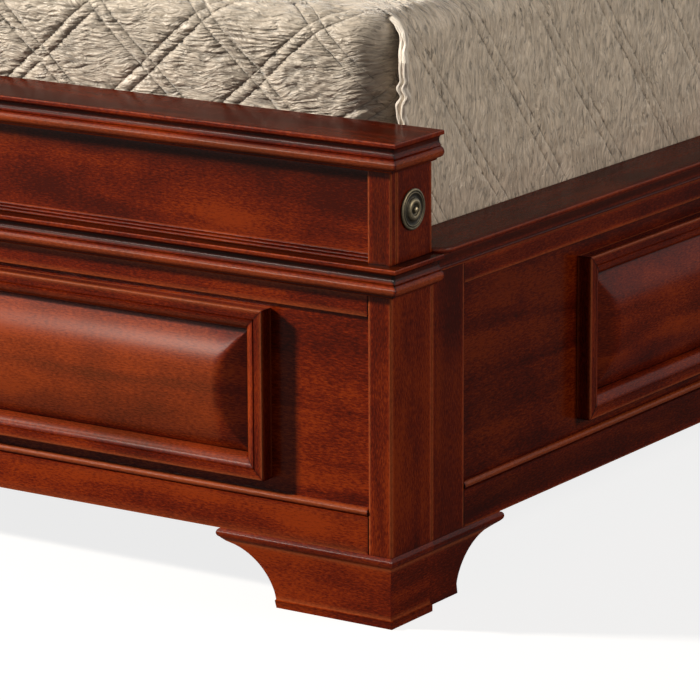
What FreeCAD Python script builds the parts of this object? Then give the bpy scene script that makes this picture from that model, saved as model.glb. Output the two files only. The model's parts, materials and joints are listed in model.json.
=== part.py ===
"""A storage bed: moulded footboard, raised drawer fronts, slatted deck, mattress and coverlet.

The bed stands on the plane z = 0. The foot end faces -Y, the headboard stands at +Y, and the two
sides mirror each other across x = 0. All sizes are millimetres.
"""
import FreeCAD
import Part
import math
import os

# Mattress and coverlet
mattress_width = 1524.0
mattress_length = 2032.0
mattress_height = 296.0
mattress_crown = 12.0
mattress_draw_in = 4.0
mattress_corner = 45.0
mattress_edge = 34.0
cover_thick = 8.0
cover_clear = 0.5
cover_hem_lift = 5.0
cover_split = 10.0
soft_clear = 0.3

# Widths and depths of the frame
tuck_gap = 11.0
ledge_inset = 68.0
foot_depth = 85.0
foot_gap = 13.0
head_gap = 10.0
head_depth = 62.0

# Moulded boards: the cap on top of each end and the waist below the upper band
mould_overhang = 16.0
mould_thick = 36.0
nose_thick = 5.0
nose_round = 1.6
cove_start = 13.0
cove_deep = 9.3
cove_drop = 17.5
quirk_inset = 4.5
quirk_drop = 1.0
bead_drop = 31.0
tuck_drop = 1.0
tuck_inset = 6.5

# Heights of the footboard, from the floor up
foot_height = 83.0
bottom_rail_height = 54.0
rail_bead_height = 9.0
rail_bead_proud = 1.5
rail_quirk = 1.2
waist_top = 421.0
band_height = 106.0
front_rail_height = 26.0

# Posts, panels and rails
post_width = 31.0
post_round = 1.5
joint_line = 0.8
rail_thick = 19.0
panel_recess = 6.0
panel_thick = 13.0
stile_depth = 11.0
frieze_recess = 6.0
frieze_thick = 12.0
strip_height = 11.0
strip_proud = 3.0
strip_bead = 4.0
back_board_thick = 18.0
ledge_step = 4.0
ledge_thick = 27.0
ledge_nose = 6.0
ledge_proud = 15.0
ledge_cove_deep = 7.0
ledge_cove_drop = 21.0
ledge_bead_proud = 5.5
ledge_corner = 20.0
rail_stile_width = 68.0
side_top_rail_height = 26.0

# Drawer fronts
face_height = 200.0
face_thick = 19.0
foot_face_offset = 166.0
foot_face_gap = 133.0
foot_face_lift = 15.0
side_face_head_offset = 331.5
side_face_gap = 139.0
side_face_lift = 16.5
front_clear = 0.3
frame_width = 27.0
frame_round = 1.8
frame_flat = 11.5
frame_groove = 1.2
frame_ovolo_drop = 15.5
frame_ovolo_bulge = 4.0
pillow_edge = 3.0
pillow_slope = 44.0
pillow_proud = 1.5

# Drawer boxes and their slides
overlay = 20.0
box_wall = 12.0
box_bottom = 6.0
box_bottom_lift = 8.0
box_height = 140.0
box_lift = 8.0
foot_box_depth = 380.0
side_box_depth = 480.0
box_back_clear = 32.5
slide_space = 12.7
slide_height = 36.0
slide_gauge = 1.5
slide_depth = 10.5
runner_depth = 10.0
running_clear = 0.3
slide_end_gap = 30.0

# Hidden drawers behind the end panels of the upper band
pull_front_thick = 18.0
pull_clear = 0.5
pull_wall = 8.0
pull_floor = 6.0
pull_length = 340.0
pull_box_height = 84.0
pull_side_clear = 0.6

# Rosette knob
knob_radius = 23.5
knob_height = 7.5
stud_radius = 2.5
stud_length = 14.0
stud_clear = 0.2
knob_foot_shift = 5.0
knob_rise = 4.5
rosette_shares = ((1.0, 0.3), (0.88, 0.42), (0.6, 0.28), (0.42, 0.72), (0.14, 0.9), (0.0, 0.9))

# Bracket feet
foot_board_thick = 22.0
front_foot_length = 240.0
side_foot_length = 238.0
wing_lift = 6.0
foot_bead_height = 12.0
foot_bead_proud = 3.0
foot_face_inset = 2.5
foot_base_height = 9.0
foot_base_proud = 0.8
foot_tip_round = 5.0
front_foot_curve_shares = ((0.965, 0.83), (0.76, 0.56), (0.675, 0.20), (0.655, 0.0))
side_foot_curve_shares = ((0.965, 0.82), (0.70, 0.60), (0.60, 0.16), (0.605, 0.0))

# Deck: dividers, cleats, slats, centre beam and legs
divider_thick = 18.0
divider_bottom = 100.0
cleat_width = 30.0
cleat_height = 30.0
slat_width = 64.0
slat_thick = 19.0
slat_count = 15
slat_margin = 34.0
slat_end_gap = 3.0
beam_width = 45.0
leg_width = 50.0
leg_taper = 6.0

# Hook plates that join the side rails to the posts
plate_thick = 3.0
plate_width = 12.0
plate_height = 120.0
hook_reach = 12.0
hook_height = 22.0
hook_thick = 3.0
hook_clear = 0.5
hook_place_shares = (0.26, 0.74)

# Headboard
head_top = 1372.0
head_post_width = 70.0
head_panel_recess = 14.0
head_panel_thick = 12.0
head_rail_height = 90.0
head_low_rail_bottom = 300.0
head_field_bottom = 640.0
head_raised_count = 3
head_raised_gap = 46.0
head_raised_margin = 34.0

overrun = 10.0

# Places worked out from the sizes above
half_width = mattress_width / 2 + tuck_gap + ledge_inset
well_length = mattress_length + foot_gap + head_gap
face_y = -(mould_overhang + foot_depth + well_length + head_depth) / 2 + mould_overhang
post_back_y = face_y + foot_depth
head_y = post_back_y + well_length
head_back_y = head_y + head_depth
rail_bottom_top = foot_height + bottom_rail_height
waist_bottom = waist_top - mould_thick
cap_bottom = waist_top + band_height
cap_top = cap_bottom + mould_thick
ledge_top = waist_top + ledge_step
ledge_bottom = ledge_top - ledge_thick
front_recess_top = waist_bottom - front_rail_height
side_recess_top = ledge_bottom - side_top_rail_height
slat_bottom = side_recess_top
deck_top = slat_bottom + slat_thick
divider_top = side_recess_top - cleat_height
foot_face_width = (2 * (half_width - foot_face_offset) - foot_face_gap) / 2
front_panel_y = face_y + panel_recess
side_panel_x = half_width - panel_recess
side_face_start = front_panel_y + foot_box_depth + box_back_clear + divider_thick - overlay
side_face_width = (head_y - side_face_head_offset - side_face_start - side_face_gap) / 2
foot_slide_length = foot_box_depth - slide_end_gap
side_slide_length = side_box_depth - slide_end_gap
foot_opening_width = foot_face_width - 2 * overlay
side_opening_width = side_face_width - 2 * overlay
foot_face_bottom = rail_bottom_top + foot_face_lift
side_face_bottom = rail_bottom_top + side_face_lift
opening_height = face_height - 2 * overlay
foot_face_x = foot_face_gap / 2 + foot_face_width / 2
side_face_ys = (side_face_start + side_face_width / 2,
                head_y - side_face_head_offset - side_face_width / 2)
mattress_foot_y = post_back_y + foot_gap
mattress_head_y = mattress_foot_y + mattress_length
mattress_bottom = deck_top + soft_clear


def point_xz(a, b):
    return FreeCAD.Vector(a, 0, b)


def point_yz(a, b):
    return FreeCAD.Vector(0, a, b)


def point_xy(a, b):
    return FreeCAD.Vector(a, b, 0)


def face(place, start, *steps):
    """A flat face from straight steps (end,) and three-point arcs (middle, end), closed at last."""
    edges = []
    first = place(*start)
    here = first
    for step in steps:
        there = place(*step[-1])
        if len(step) == 2:
            edges.append(Part.Arc(here, place(*step[0]), there).toShape())
        else:
            edges.append(Part.LineSegment(here, there).toShape())
        here = there
    edges.append(Part.LineSegment(here, first).toShape())
    return Part.Face(Part.Wire(edges))


def block(x0, x1, y0, y1, z0, z1):
    """A plain board between two corners."""
    return Part.makeBox(x1 - x0, y1 - y0, z1 - z0, FreeCAD.Vector(x0, y0, z0))


def along_x(shape, x0, x1):
    return shape.extrude(FreeCAD.Vector(x1 - x0, 0, 0)).translated(FreeCAD.Vector(x0, 0, 0))


def along_y(shape, y0, y1):
    return shape.extrude(FreeCAD.Vector(0, y1 - y0, 0)).translated(FreeCAD.Vector(0, y0, 0))


def along_z(shape, z0, z1):
    return shape.extrude(FreeCAD.Vector(0, 0, z1 - z0)).translated(FreeCAD.Vector(0, 0, z0))


def mirrored(shape):
    """The same piece on the other side of the bed."""
    return shape.mirror(FreeCAD.Vector(0, 0, 0), FreeCAD.Vector(1, 0, 0))


def both_sides(shape):
    return [shape, mirrored(shape)]


def eased_board(x0, x1, y0, y1, z0, z1, radius, corners):
    """An upright board with the named vertical corners rounded."""
    board = block(x0, x1, y0, y1, z0, z1)
    edges = []
    for edge in board.Edges:
        ends = [vertex.Point for vertex in edge.Vertexes]
        upright = abs(ends[0].x - ends[1].x) + abs(ends[0].y - ends[1].y) < running_clear
        if upright and (ends[0].x > (x0 + x1) / 2, ends[0].y > (y0 + y1) / 2) in corners:
            edges.append(edge)
    return board.makeFillet(radius, edges)


def save(node, *solids):
    """Write one sub-part, made of one or more solids."""
    shape = solids[0] if len(solids) == 1 else Part.makeCompound(list(solids))
    shape.exportStep("parts/" + node + ".step")


def solids_of(shape):
    return shape.Solids[0] if len(shape.Solids) == 1 else shape


# Moulded boards


def board_edge(sign, edge, inner, top):
    """Section of a moulded board: nose, cove, quirk, bead and a tuck back to the face.

    edge is the face below, sign the way out from it, inner the plain side and top the upper face.
    """
    def at(out, drop):
        return (edge + sign * out, top - drop)

    bead_end = mould_overhang - quirk_inset
    cove_end = cove_deep + (mould_overhang - cove_deep) / 2
    middle_cove = (cove_drop + nose_thick) / 2
    bead_top = cove_drop + quirk_drop
    half = nose_round * (1 - math.cos(math.pi / 4))
    return ((inner, top),
            (at(mould_overhang - nose_round, 0),),
            (at(mould_overhang - half, half), at(mould_overhang, nose_round)),
            (at(mould_overhang, nose_thick - nose_round),),
            (at(mould_overhang - half, nose_thick - half), at(mould_overhang - nose_round, nose_thick)),
            (at(cove_start, nose_thick),),
            (at(cove_deep, middle_cove), at(cove_end, cove_drop)),
            (at(bead_end, bead_top),),
            (at(mould_overhang, (bead_top + bead_drop) / 2), at(bead_end, bead_drop)),
            (at(tuck_inset, bead_drop + tuck_drop),),
            (at(0, mould_thick),),
            ((inner, top - mould_thick),))


def moulded_board(front, back, top):
    """A board whose moulding runs along the front and both ends, mitred at the corners."""
    reach = half_width + mould_overhang + overrun
    start, *steps = board_edge(-1, front, back, top)
    long_board = along_x(face(point_yz, start, *steps), -reach, reach)
    start, *steps = board_edge(1, half_width, -reach, top)
    end_board = along_y(face(point_xz, start, *steps), front - reach, back + overrun)
    return solids_of(long_board.common(end_board).common(mirrored(end_board)))


# Footboard


def frieze_panel(front, low, high, side):
    """Flat recessed board of the upper band, between the stiles."""
    y0 = front + frieze_recess
    return block(-side, side, y0, y0 + frieze_thick, low, high)


def frieze_strip(front, low, side):
    """Thin double bead along the bottom of the frieze."""
    y0 = front + frieze_recess
    mid = low + strip_height - strip_bead
    out = y0 - strip_proud
    section = face(point_yz, (y0, low),
                   ((out, low),),
                   ((out, mid - strip_proud / 2),),
                   ((out + strip_proud / 2, mid),),
                   ((out, mid + strip_bead / 2), (y0, low + strip_height)))
    return along_x(section, -side, side)


def foot_post():
    """Corner post from the bracket foot to the waist board, slotted for the hook plate."""
    x0 = half_width - post_width
    post = eased_board(x0, half_width, face_y, post_back_y, foot_height, waist_bottom,
                       post_round, [(True, False)])
    return post.cut(hook_slots(post_back_y, -1))


def upper_stile():
    """Front board of the upper band at the corner, in line with the post below."""
    return eased_board(half_width - post_width, half_width, face_y, face_y + stile_depth,
                       waist_top, cap_bottom, post_round, [(True, False)])


def beaded_rail_section(edge, sign):
    """Section of a bottom rail with a bead worked on its top edge."""
    def at(out, z):
        return (edge + sign * out, z)

    low = rail_bottom_top - rail_bead_height
    return (at(-rail_thick, foot_height),
            (at(-joint_line, foot_height),),
            (at(-joint_line, low - rail_quirk),),
            (at(-joint_line - rail_quirk, low),),
            (at(rail_bead_proud, low + rail_bead_height / 2), at(-joint_line - rail_quirk, rail_bottom_top)),
            (at(-rail_thick, rail_bottom_top),))


def foot_rails():
    side = half_width - post_width - joint_line
    top = block(-side, side, face_y + joint_line, face_y + rail_thick, front_recess_top, waist_bottom)
    start, *steps = beaded_rail_section(face_y, -1)
    bottom = along_x(face(point_yz, start, *steps), -side, side)
    return top, bottom


def drawer_panel(length, low, high, centres, opening, opening_low):
    """Flat panel behind the drawer fronts, with one opening for each drawer box.

    Built facing -Y with its front at y = 0 and its middle at x = 0.
    """
    panel = block(-length / 2, length / 2, 0, panel_thick, low, high)
    for x in centres:
        hole = block(x - opening / 2, x + opening / 2, -overrun, panel_thick + overrun,
                     opening_low, opening_low + opening_height)
        panel = panel.cut(hole)
    return panel


# Bracket feet


def foot_section(edge, sign, bottom):
    """Section through a bracket foot: bead, sloped face and base strip."""
    def at(out, z):
        return (edge + sign * out, z)

    bead_low = foot_height - foot_bead_height
    base_top = bottom + foot_base_height
    has_base = bottom == 0
    base_out = foot_base_proud if has_base else -foot_face_inset
    neck = -foot_face_inset / 2
    return (at(-foot_board_thick, bottom),
            (at(base_out, bottom),),
            (at(base_out, base_top - foot_base_proud),),
            (at(-foot_face_inset, base_top),),
            (at(neck - foot_base_proud / 2, (base_top + bead_low) / 2), at(neck, bead_low - foot_face_inset)),
            (at(0, bead_low),),
            (at(foot_bead_proud, (bead_low + foot_height) / 2), at(0, foot_height)),
            (at(-foot_board_thick, foot_height),))


def foot_outline(place, corner, way, length, bottom, shares):
    """Side view of a bracket foot: a rounded tip and a hollow curve down to the toe."""
    def at(share_out, share_up):
        return (corner + way * length * share_out, bottom + (foot_height - bottom) * share_up)

    tip = corner + way * length
    shoulder, hollow, ankle, toe = shares
    round_low = foot_height - 2 * foot_tip_round
    inner = corner - way * overrun
    return face(place, (inner, foot_height),
                ((tip - way * foot_tip_round, foot_height),),
                ((tip, foot_height - foot_tip_round), (tip - way * foot_tip_round, round_low)),
                (at(*shoulder),),
                (at(*hollow), at(*ankle)),
                (at(*toe),),
                ((inner, bottom),))


def bracket_foot():
    """Corner foot: a long front board and a short side return, mitred together."""
    reach = front_foot_length + overrun
    start, *steps = foot_section(face_y, -1, 0)
    front = along_x(face(point_yz, start, *steps), half_width - reach, half_width + overrun)
    outline = foot_outline(point_xz, half_width, -1, front_foot_length, 0, front_foot_curve_shares)
    front = front.common(along_y(outline, face_y - overrun, face_y + foot_board_thick))
    start, *steps = foot_section(half_width, 1, 0)
    side = along_y(face(point_xz, start, *steps), face_y - overrun, post_back_y)
    mitre_out = overrun
    mitre_in = foot_board_thick
    mitre = face(point_xy, (half_width + mitre_out, face_y - mitre_out),
                 ((half_width - mitre_in, face_y + mitre_in),),
                 ((half_width - mitre_in, post_back_y + overrun),),
                 ((half_width + mitre_out, post_back_y + overrun),))
    side_wedge = along_z(mitre, 0, foot_height)
    return solids_of(front.cut(side_wedge)), solids_of(side.common(side_wedge))


def rail_wing():
    """Short bracket wing on the side rail beside the corner foot, held off the floor."""
    start, *steps = foot_section(half_width, 1, wing_lift)
    wing = along_y(face(point_xz, start, *steps), post_back_y, face_y + side_foot_length)
    outline = foot_outline(point_yz, face_y, 1, side_foot_length, wing_lift, side_foot_curve_shares)
    wing = wing.common(along_x(outline, half_width - foot_board_thick, half_width + overrun))
    return solids_of(wing)


def head_wing():
    """The same wing at the head end, turned the other way."""
    middle = (post_back_y + head_y) / 2
    return rail_wing().mirror(FreeCAD.Vector(0, middle, 0), FreeCAD.Vector(0, 1, 0))


# Side rails


def ledge():
    """Flat ledge board with a nose, cove and small bead along its outer edge."""
    def at(out, drop):
        return (half_width + out, ledge_top - drop)

    half = nose_round * (1 - math.cos(math.pi / 4))
    bead_top = ledge_cove_drop + quirk_drop
    section = face(point_xz, (half_width - ledge_inset, ledge_top),
                   (at(ledge_proud - nose_round, 0),),
                   (at(ledge_proud - half, half), at(ledge_proud, nose_round)),
                   (at(ledge_proud, ledge_nose - nose_round),),
                   (at(ledge_proud - half, ledge_nose - half), at(ledge_proud - nose_round, ledge_nose)),
                   (at(ledge_proud - quirk_inset, ledge_nose),),
                   (at(ledge_cove_deep, (ledge_nose + ledge_cove_drop) / 2),
                    at(ledge_cove_deep, ledge_cove_drop)),
                   (at(ledge_bead_proud - quirk_drop, bead_top),),
                   (at(ledge_bead_proud, (bead_top + ledge_thick) / 2),
                    at(ledge_bead_proud - quirk_drop, ledge_thick)),
                   ((half_width - ledge_inset, ledge_bottom),))
    board = along_y(section, post_back_y, head_y)
    corner_x = half_width + ledge_proud
    bend = ledge_corner * (1 - math.cos(math.pi / 4))
    waste = face(point_xy, (corner_x - ledge_corner, post_back_y),
                 ((corner_x - bend, post_back_y + bend), (corner_x, post_back_y + ledge_corner)),
                 ((corner_x + overrun, post_back_y + ledge_corner),),
                 ((corner_x + overrun, post_back_y - overrun),),
                 ((corner_x - ledge_corner, post_back_y - overrun),))
    return board.cut(along_z(waste, ledge_top - ledge_nose, ledge_top + overrun))


def rail_stiles():
    """Upright ends of the side rail's frame, recessed for the hook plates."""
    x0 = half_width - rail_thick
    foot_end = block(x0, half_width, post_back_y, post_back_y + rail_stile_width, foot_height, ledge_bottom)
    head_end = block(x0, half_width, head_y - rail_stile_width, head_y, foot_height, ledge_bottom)
    return foot_end.cut(plate_recess(post_back_y, 1)), head_end.cut(plate_recess(head_y, -1))


def side_rails():
    y0 = post_back_y + rail_stile_width + joint_line
    y1 = head_y - rail_stile_width - joint_line
    top = block(half_width - rail_thick, half_width - joint_line, y0, y1, side_recess_top, ledge_bottom)
    start, *steps = beaded_rail_section(half_width, 1)
    bottom = along_y(face(point_xz, start, *steps), y0, y1)
    return top, bottom


def turned_out(shape, x, y):
    """Turn a piece built facing -Y so that it faces +X, with its face plane at x."""
    turned = shape.copy()
    turned.rotate(FreeCAD.Vector(0, 0, 0), FreeCAD.Vector(0, 0, 1), 90)
    turned.translate(FreeCAD.Vector(x, y, 0))
    return turned


def side_panel():
    y0 = post_back_y + rail_stile_width
    y1 = head_y - rail_stile_width
    middle = (y0 + y1) / 2
    centres = [y - middle for y in side_face_ys]
    panel = drawer_panel(y1 - y0, rail_bottom_top, side_recess_top, centres, side_opening_width,
                         side_face_bottom + overlay)
    return turned_out(panel, side_panel_x, middle)


# Hook plates


def plate_middle():
    return (foot_height + ledge_bottom) / 2


def hook_plate(y, way):
    """Steel plate let into the rail's end, with two hooks that drop into the post."""
    x = half_width - rail_thick / 2
    low = plate_middle() - plate_height / 2
    y_far = y + way * plate_thick
    plate = block(x - plate_width / 2, x + plate_width / 2, min(y, y_far), max(y, y_far),
                  low, low + plate_height)
    for share in hook_place_shares:
        z = low + plate_height * share
        y_tip = y - way * hook_reach
        hook = block(x - hook_thick / 2, x + hook_thick / 2, min(y, y_tip), max(y, y_tip),
                     z - hook_height / 2, z + hook_height / 2)
        plate = plate.fuse(hook)
    return plate.removeSplitter()


def hook_slots(y, way):
    """Slots in a post that take the hooks, on the side that way points to."""
    x = half_width - rail_thick / 2
    low = plate_middle() - plate_height / 2
    slots = []
    for share in hook_place_shares:
        z = low + plate_height * share
        y_tip = y + way * (hook_reach + hook_clear)
        slots.append(block(x - hook_thick / 2 - hook_clear, x + hook_thick / 2 + hook_clear,
                           min(y, y_tip), max(y, y_tip),
                           z - hook_height / 2 - hook_clear, z + hook_height / 2 + hook_clear))
    return Part.makeCompound(slots)


def plate_recess(y, way):
    x = half_width - rail_thick / 2
    z = plate_middle()
    y_far = y + way * (plate_thick + hook_clear)
    return block(x - plate_width / 2 - hook_clear, x + plate_width / 2 + hook_clear,
                 min(y, y_far), max(y, y_far),
                 z - plate_height / 2 - hook_clear, z + plate_height / 2 + hook_clear)


# Drawer fronts and boxes, built facing -Y with the back of the front at y = 0


def frame_side(length):
    """One mitred side of the moulded frame, lying along x with its outer edge at z = 0.

    A flat band and a fine groove outside, then a quarter round that falls to the pillow's edge.
    """
    top = -face_thick
    half = frame_round * (1 - math.cos(math.pi / 4))
    ovolo_start = frame_flat + 2 * frame_groove
    fall = frame_ovolo_drop - frame_groove / 2
    run = frame_width - ovolo_start
    chord = math.hypot(run, fall)
    bulge_in = frame_ovolo_bulge * fall / chord
    bulge_out = frame_ovolo_bulge * run / chord
    section = face(point_yz, (0, 0),
                   ((top + frame_round, 0),),
                   ((top + half, half), (top, frame_round)),
                   ((top, frame_flat),),
                   ((top + frame_groove, frame_flat + frame_groove),),
                   ((top + frame_groove / 2, ovolo_start),),
                   ((top + (frame_groove / 2 + frame_ovolo_drop) / 2 - bulge_out,
                     (ovolo_start + frame_width) / 2 + bulge_in),
                    (top + frame_ovolo_drop, frame_width)),
                   ((0, frame_width),))
    moulding = along_x(section, -length / 2, length / 2)
    trapezium = face(point_xz, (-length / 2, 0),
                     ((length / 2, 0),),
                     ((length / 2 - frame_width, frame_width),),
                     ((-length / 2 + frame_width, frame_width),))
    return solids_of(moulding.common(along_y(trapezium, -face_thick - overrun, overrun)))


def moulded_frame(width, height):
    """Four mitred sides round the pillow panel, the lower edge at z = 0."""
    centre = FreeCAD.Vector(0, 0, height / 2)
    forward = FreeCAD.Vector(0, 1, 0)
    sides = []
    for turn, length, reach in ((0, width, height), (90, height, width),
                                (180, width, height), (270, height, width)):
        side = frame_side(length)
        side.translate(FreeCAD.Vector(0, 0, height / 2 - reach / 2))
        side.rotate(centre, forward, turn)
        sides.append(side)
    return sides


def pillow_panel(width, height):
    """Raised pillow inside the frame: a barrel over the whole height, its ends cut back by flat slopes.

    Where a slope meets the barrel, the mitre runs in a bow from corner to corner.
    """
    half_w = width / 2 - frame_width
    half_h = height / 2 - frame_width
    crown = -face_thick - pillow_proud
    across = along_z(face(point_xy, (-half_w, 0),
                          ((-half_w, -pillow_edge),),
                          ((-half_w + pillow_slope, crown),),
                          ((half_w - pillow_slope, crown),),
                          ((half_w, -pillow_edge),),
                          ((half_w, 0),)), 0, height)
    upright = along_x(face(point_yz, (0, -half_h),
                           ((-pillow_edge, -half_h),),
                           ((crown, 0), (-pillow_edge, half_h)),
                           ((0, half_h),)), -width, width)
    upright.translate(FreeCAD.Vector(0, 0, height / 2))
    return solids_of(across.common(upright))


def drawer_box(width, depth):
    """Sub-front, two sides, back and a bottom board held between them."""
    half = width / 2
    low = box_lift
    high = box_lift + box_height
    sub_front = block(-half, half, 0, box_wall, low, high)
    back = block(-half + box_wall, half - box_wall, depth - box_wall, depth, low, high)
    right = block(half - box_wall, half, box_wall, depth, low, high)
    bottom = block(-half + box_wall, half - box_wall, box_wall, depth - box_wall,
                   low + box_bottom_lift, low + box_bottom_lift + box_bottom)
    return [sub_front, back, right, mirrored(right), bottom]


def channel_section(wall, way, height, depth):
    """C section in steel sheet: a web at the wall and two flanges that reach off it."""
    web = wall - way * slide_gauge
    tip = wall - way * depth
    half = height / 2
    inner = half - slide_gauge
    return face(point_xz, (wall, -half),
                ((tip, -half),),
                ((tip, -inner),),
                ((web, -inner),),
                ((web, inner),),
                ((tip, inner),),
                ((tip, half),),
                ((wall, half),))


def drawer_runners(width, length):
    """Inner slide members, screwed to the sides of the box."""
    half = width / 2
    height = slide_height - 2 * slide_gauge - 2 * running_clear
    section = channel_section(half, -1, height, runner_depth)
    runner = along_y(section, box_wall, box_wall + length)
    runner.translate(FreeCAD.Vector(0, 0, box_lift + box_height / 2))
    return both_sides(runner)


def slide_channels(width, length):
    """Outer slide members, screwed to the partitions beside the drawer."""
    wall = width / 2 + slide_space
    section = channel_section(wall, 1, slide_height, slide_depth)
    channel = along_y(section, panel_thick + running_clear, panel_thick + running_clear + length)
    channel.translate(FreeCAD.Vector(0, 0, box_lift + box_height / 2))
    return both_sides(channel)


def drawers():
    """Every drawer: its name, the sizes of its parts and the move from its own frame to the bed."""
    table = []
    for label, sign in (("right", 1), ("left", -1)):
        table.append(("foot_drawer_" + label, foot_face_width, foot_opening_width, foot_box_depth,
                      foot_slide_length, 0, sign * foot_face_x, front_panel_y, foot_face_bottom))
    for label, sign in (("right", 1), ("left", -1)):
        for number, y in enumerate(side_face_ys, start=1):
            table.append(("side_drawer_" + label + "_" + str(number), side_face_width, side_opening_width,
                          side_box_depth, side_slide_length, sign * 90, sign * side_panel_x, y,
                          side_face_bottom))
    return table


def moved(shape, turn, x, y, z):
    copy = shape.copy()
    copy.rotate(FreeCAD.Vector(0, 0, 0), FreeCAD.Vector(0, 0, 1), turn)
    copy.translate(FreeCAD.Vector(x, y, z))
    return copy


def make_drawers():
    channels = []
    for name, width, opening, depth, length, turn, x, y, z in drawers():
        box_width = opening - 2 * slide_space

        def place(shape, gap, lift):
            here = shape.translated(FreeCAD.Vector(0, -gap, 0))
            return moved(here, turn, x, y, z + lift)

        save(name + "_frame", *[place(side, front_clear, 0) for side in moulded_frame(width, face_height)])
        save(name + "_panel", place(pillow_panel(width, face_height), front_clear, 0))
        save(name + "_box", *[place(wall, front_clear, overlay) for wall in drawer_box(box_width, depth)])
        save(name + "_runners",
             *[place(part, front_clear, overlay) for part in drawer_runners(box_width, length)])
        channels.extend(place(part, 0, overlay) for part in slide_channels(box_width, length))
    save("slide_channels", *channels)


# Hidden end drawers


def pull_box_span():
    """The y places of the trough's sides, between the frieze and the back board."""
    low = face_y + frieze_recess + frieze_thick + pull_side_clear
    high = post_back_y - back_board_thick - pull_side_clear
    return low, high


def knob_axis():
    """Place of the rosette, a little towards the foot and above the middle of the end panel."""
    return face_y + (stile_depth + foot_depth) / 2 - knob_foot_shift, waist_top + band_height / 2 + knob_rise


def pull_front():
    """End panel of the upper band, bored for the knob's stud."""
    y0 = face_y + stile_depth + pull_clear
    panel = eased_board(half_width - pull_front_thick, half_width, y0, post_back_y - pull_clear,
                        waist_top + pull_clear, cap_bottom - pull_clear, post_round,
                        [(True, True), (True, False)])
    knob_y, knob_z = knob_axis()
    bore = Part.makeCylinder(stud_radius + stud_clear, pull_front_thick + overrun,
                             FreeCAD.Vector(half_width - pull_front_thick, knob_y, knob_z),
                             FreeCAD.Vector(1, 0, 0))
    return panel.cut(bore)


def pull_box():
    """Narrow open trough that slides on top of the waist board."""
    y0, y1 = pull_box_span()
    x1 = half_width - pull_front_thick
    x0 = x1 - pull_length
    z0 = waist_top + running_clear
    z1 = z0 + pull_box_height
    near = block(x0, x1, y0, y0 + pull_wall, z0, z1)
    far = block(x0, x1, y1 - pull_wall, y1, z0, z1)
    end = block(x0, x0 + pull_wall, y0 + pull_wall, y1 - pull_wall, z0, z1)
    floor = block(x0 + pull_wall, x1, y0 + pull_wall, y1 - pull_wall, z0, z0 + pull_floor)
    return [near, far, end, floor]


def rosette_knob():
    """Round brass rosette turned in rings, with a domed ring, a dished centre and a button."""
    turned = [((radius_share * knob_radius, height_share * knob_height),)
              for radius_share, height_share in rosette_shares]
    profile = face(point_xz, (0, -stud_length),
                   ((stud_radius, -stud_length),),
                   ((stud_radius, 0),),
                   ((knob_radius, 0),),
                   *turned)
    solid = profile.revolve(FreeCAD.Vector(0, 0, 0), FreeCAD.Vector(0, 0, 1), 360)
    solid.rotate(FreeCAD.Vector(0, 0, 0), FreeCAD.Vector(0, 1, 0), 90)
    knob_y, knob_z = knob_axis()
    solid.translate(FreeCAD.Vector(half_width, knob_y, knob_z))
    return solid


# Deck


def bay_dividers():
    """Cross boards beside the side drawers and lengthwise boards beside the foot drawers."""
    boards = []
    reach = side_panel_x - panel_thick
    for y in side_face_ys:
        for edge in (y - side_opening_width / 2 - divider_thick, y + side_opening_width / 2):
            boards.append(block(-reach, reach, edge, edge + divider_thick, divider_bottom, divider_top))
    y0 = front_panel_y + panel_thick
    y1 = side_face_ys[0] - side_opening_width / 2 - divider_thick
    for x in (foot_face_x - foot_opening_width / 2 - divider_thick, foot_face_x + foot_opening_width / 2):
        boards.extend(both_sides(block(x, x + divider_thick, y0, y1, divider_bottom, divider_top)))
    return boards


def slat_cleat():
    """Strip behind the side panel that the slats lie on."""
    x1 = side_panel_x - panel_thick
    return block(x1 - cleat_width, x1, post_back_y, head_y, divider_top, slat_bottom)


def slats():
    reach = half_width - rail_thick - slat_end_gap
    first = post_back_y + slat_margin
    last = head_y - slat_margin - slat_width
    pitch = (last - first) / (slat_count - 1)
    return [block(-reach, reach, first + pitch * i, first + pitch * i + slat_width, slat_bottom, deck_top)
            for i in range(slat_count)]


def centre_support():
    """Beam under the middle of the slats and a tapered leg under each cross board."""
    beam = block(-beam_width / 2, beam_width / 2, face_y + rail_thick, head_y + joint_line,
                 divider_top, slat_bottom)
    pieces = [beam]
    reach = (side_opening_width + divider_thick) / 2
    for y in side_face_ys:
        pieces.extend([centre_leg(y - reach), centre_leg(y + reach)])
    return pieces


def centre_leg(y):
    """Square leg that narrows to the floor: two crossed tapers."""
    def taper(place, middle):
        foot = leg_width / 2 - leg_taper
        top = leg_width / 2
        return face(place, (middle - foot, 0),
                    ((middle + foot, 0),),
                    ((middle + top, divider_bottom),),
                    ((middle - top, divider_bottom),))

    across = along_y(taper(point_xz, 0), y - leg_width, y + leg_width)
    return solids_of(across.common(along_x(taper(point_yz, y), -leg_width, leg_width)))


# Headboard


def head_levels():
    """Heights of the headboard's upper members, from the cap down."""
    cap_low = head_top - mould_thick
    band_low = cap_low - band_height
    mould_low = band_low - mould_thick
    return cap_low, band_low, mould_low


def head_posts():
    """Posts from the floor to the cap, halved round the moulding that crosses them."""
    cap_low, band_low, mould_low = head_levels()
    x0 = half_width - head_post_width
    lower = eased_board(x0, half_width, head_y, head_back_y, 0, mould_low, post_round, [(True, False)])
    upper = eased_board(x0, half_width, head_y, head_back_y, band_low, cap_low, post_round, [(True, False)])
    lower = lower.cut(hook_slots(head_y, 1))
    return both_sides(lower) + both_sides(upper)


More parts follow.
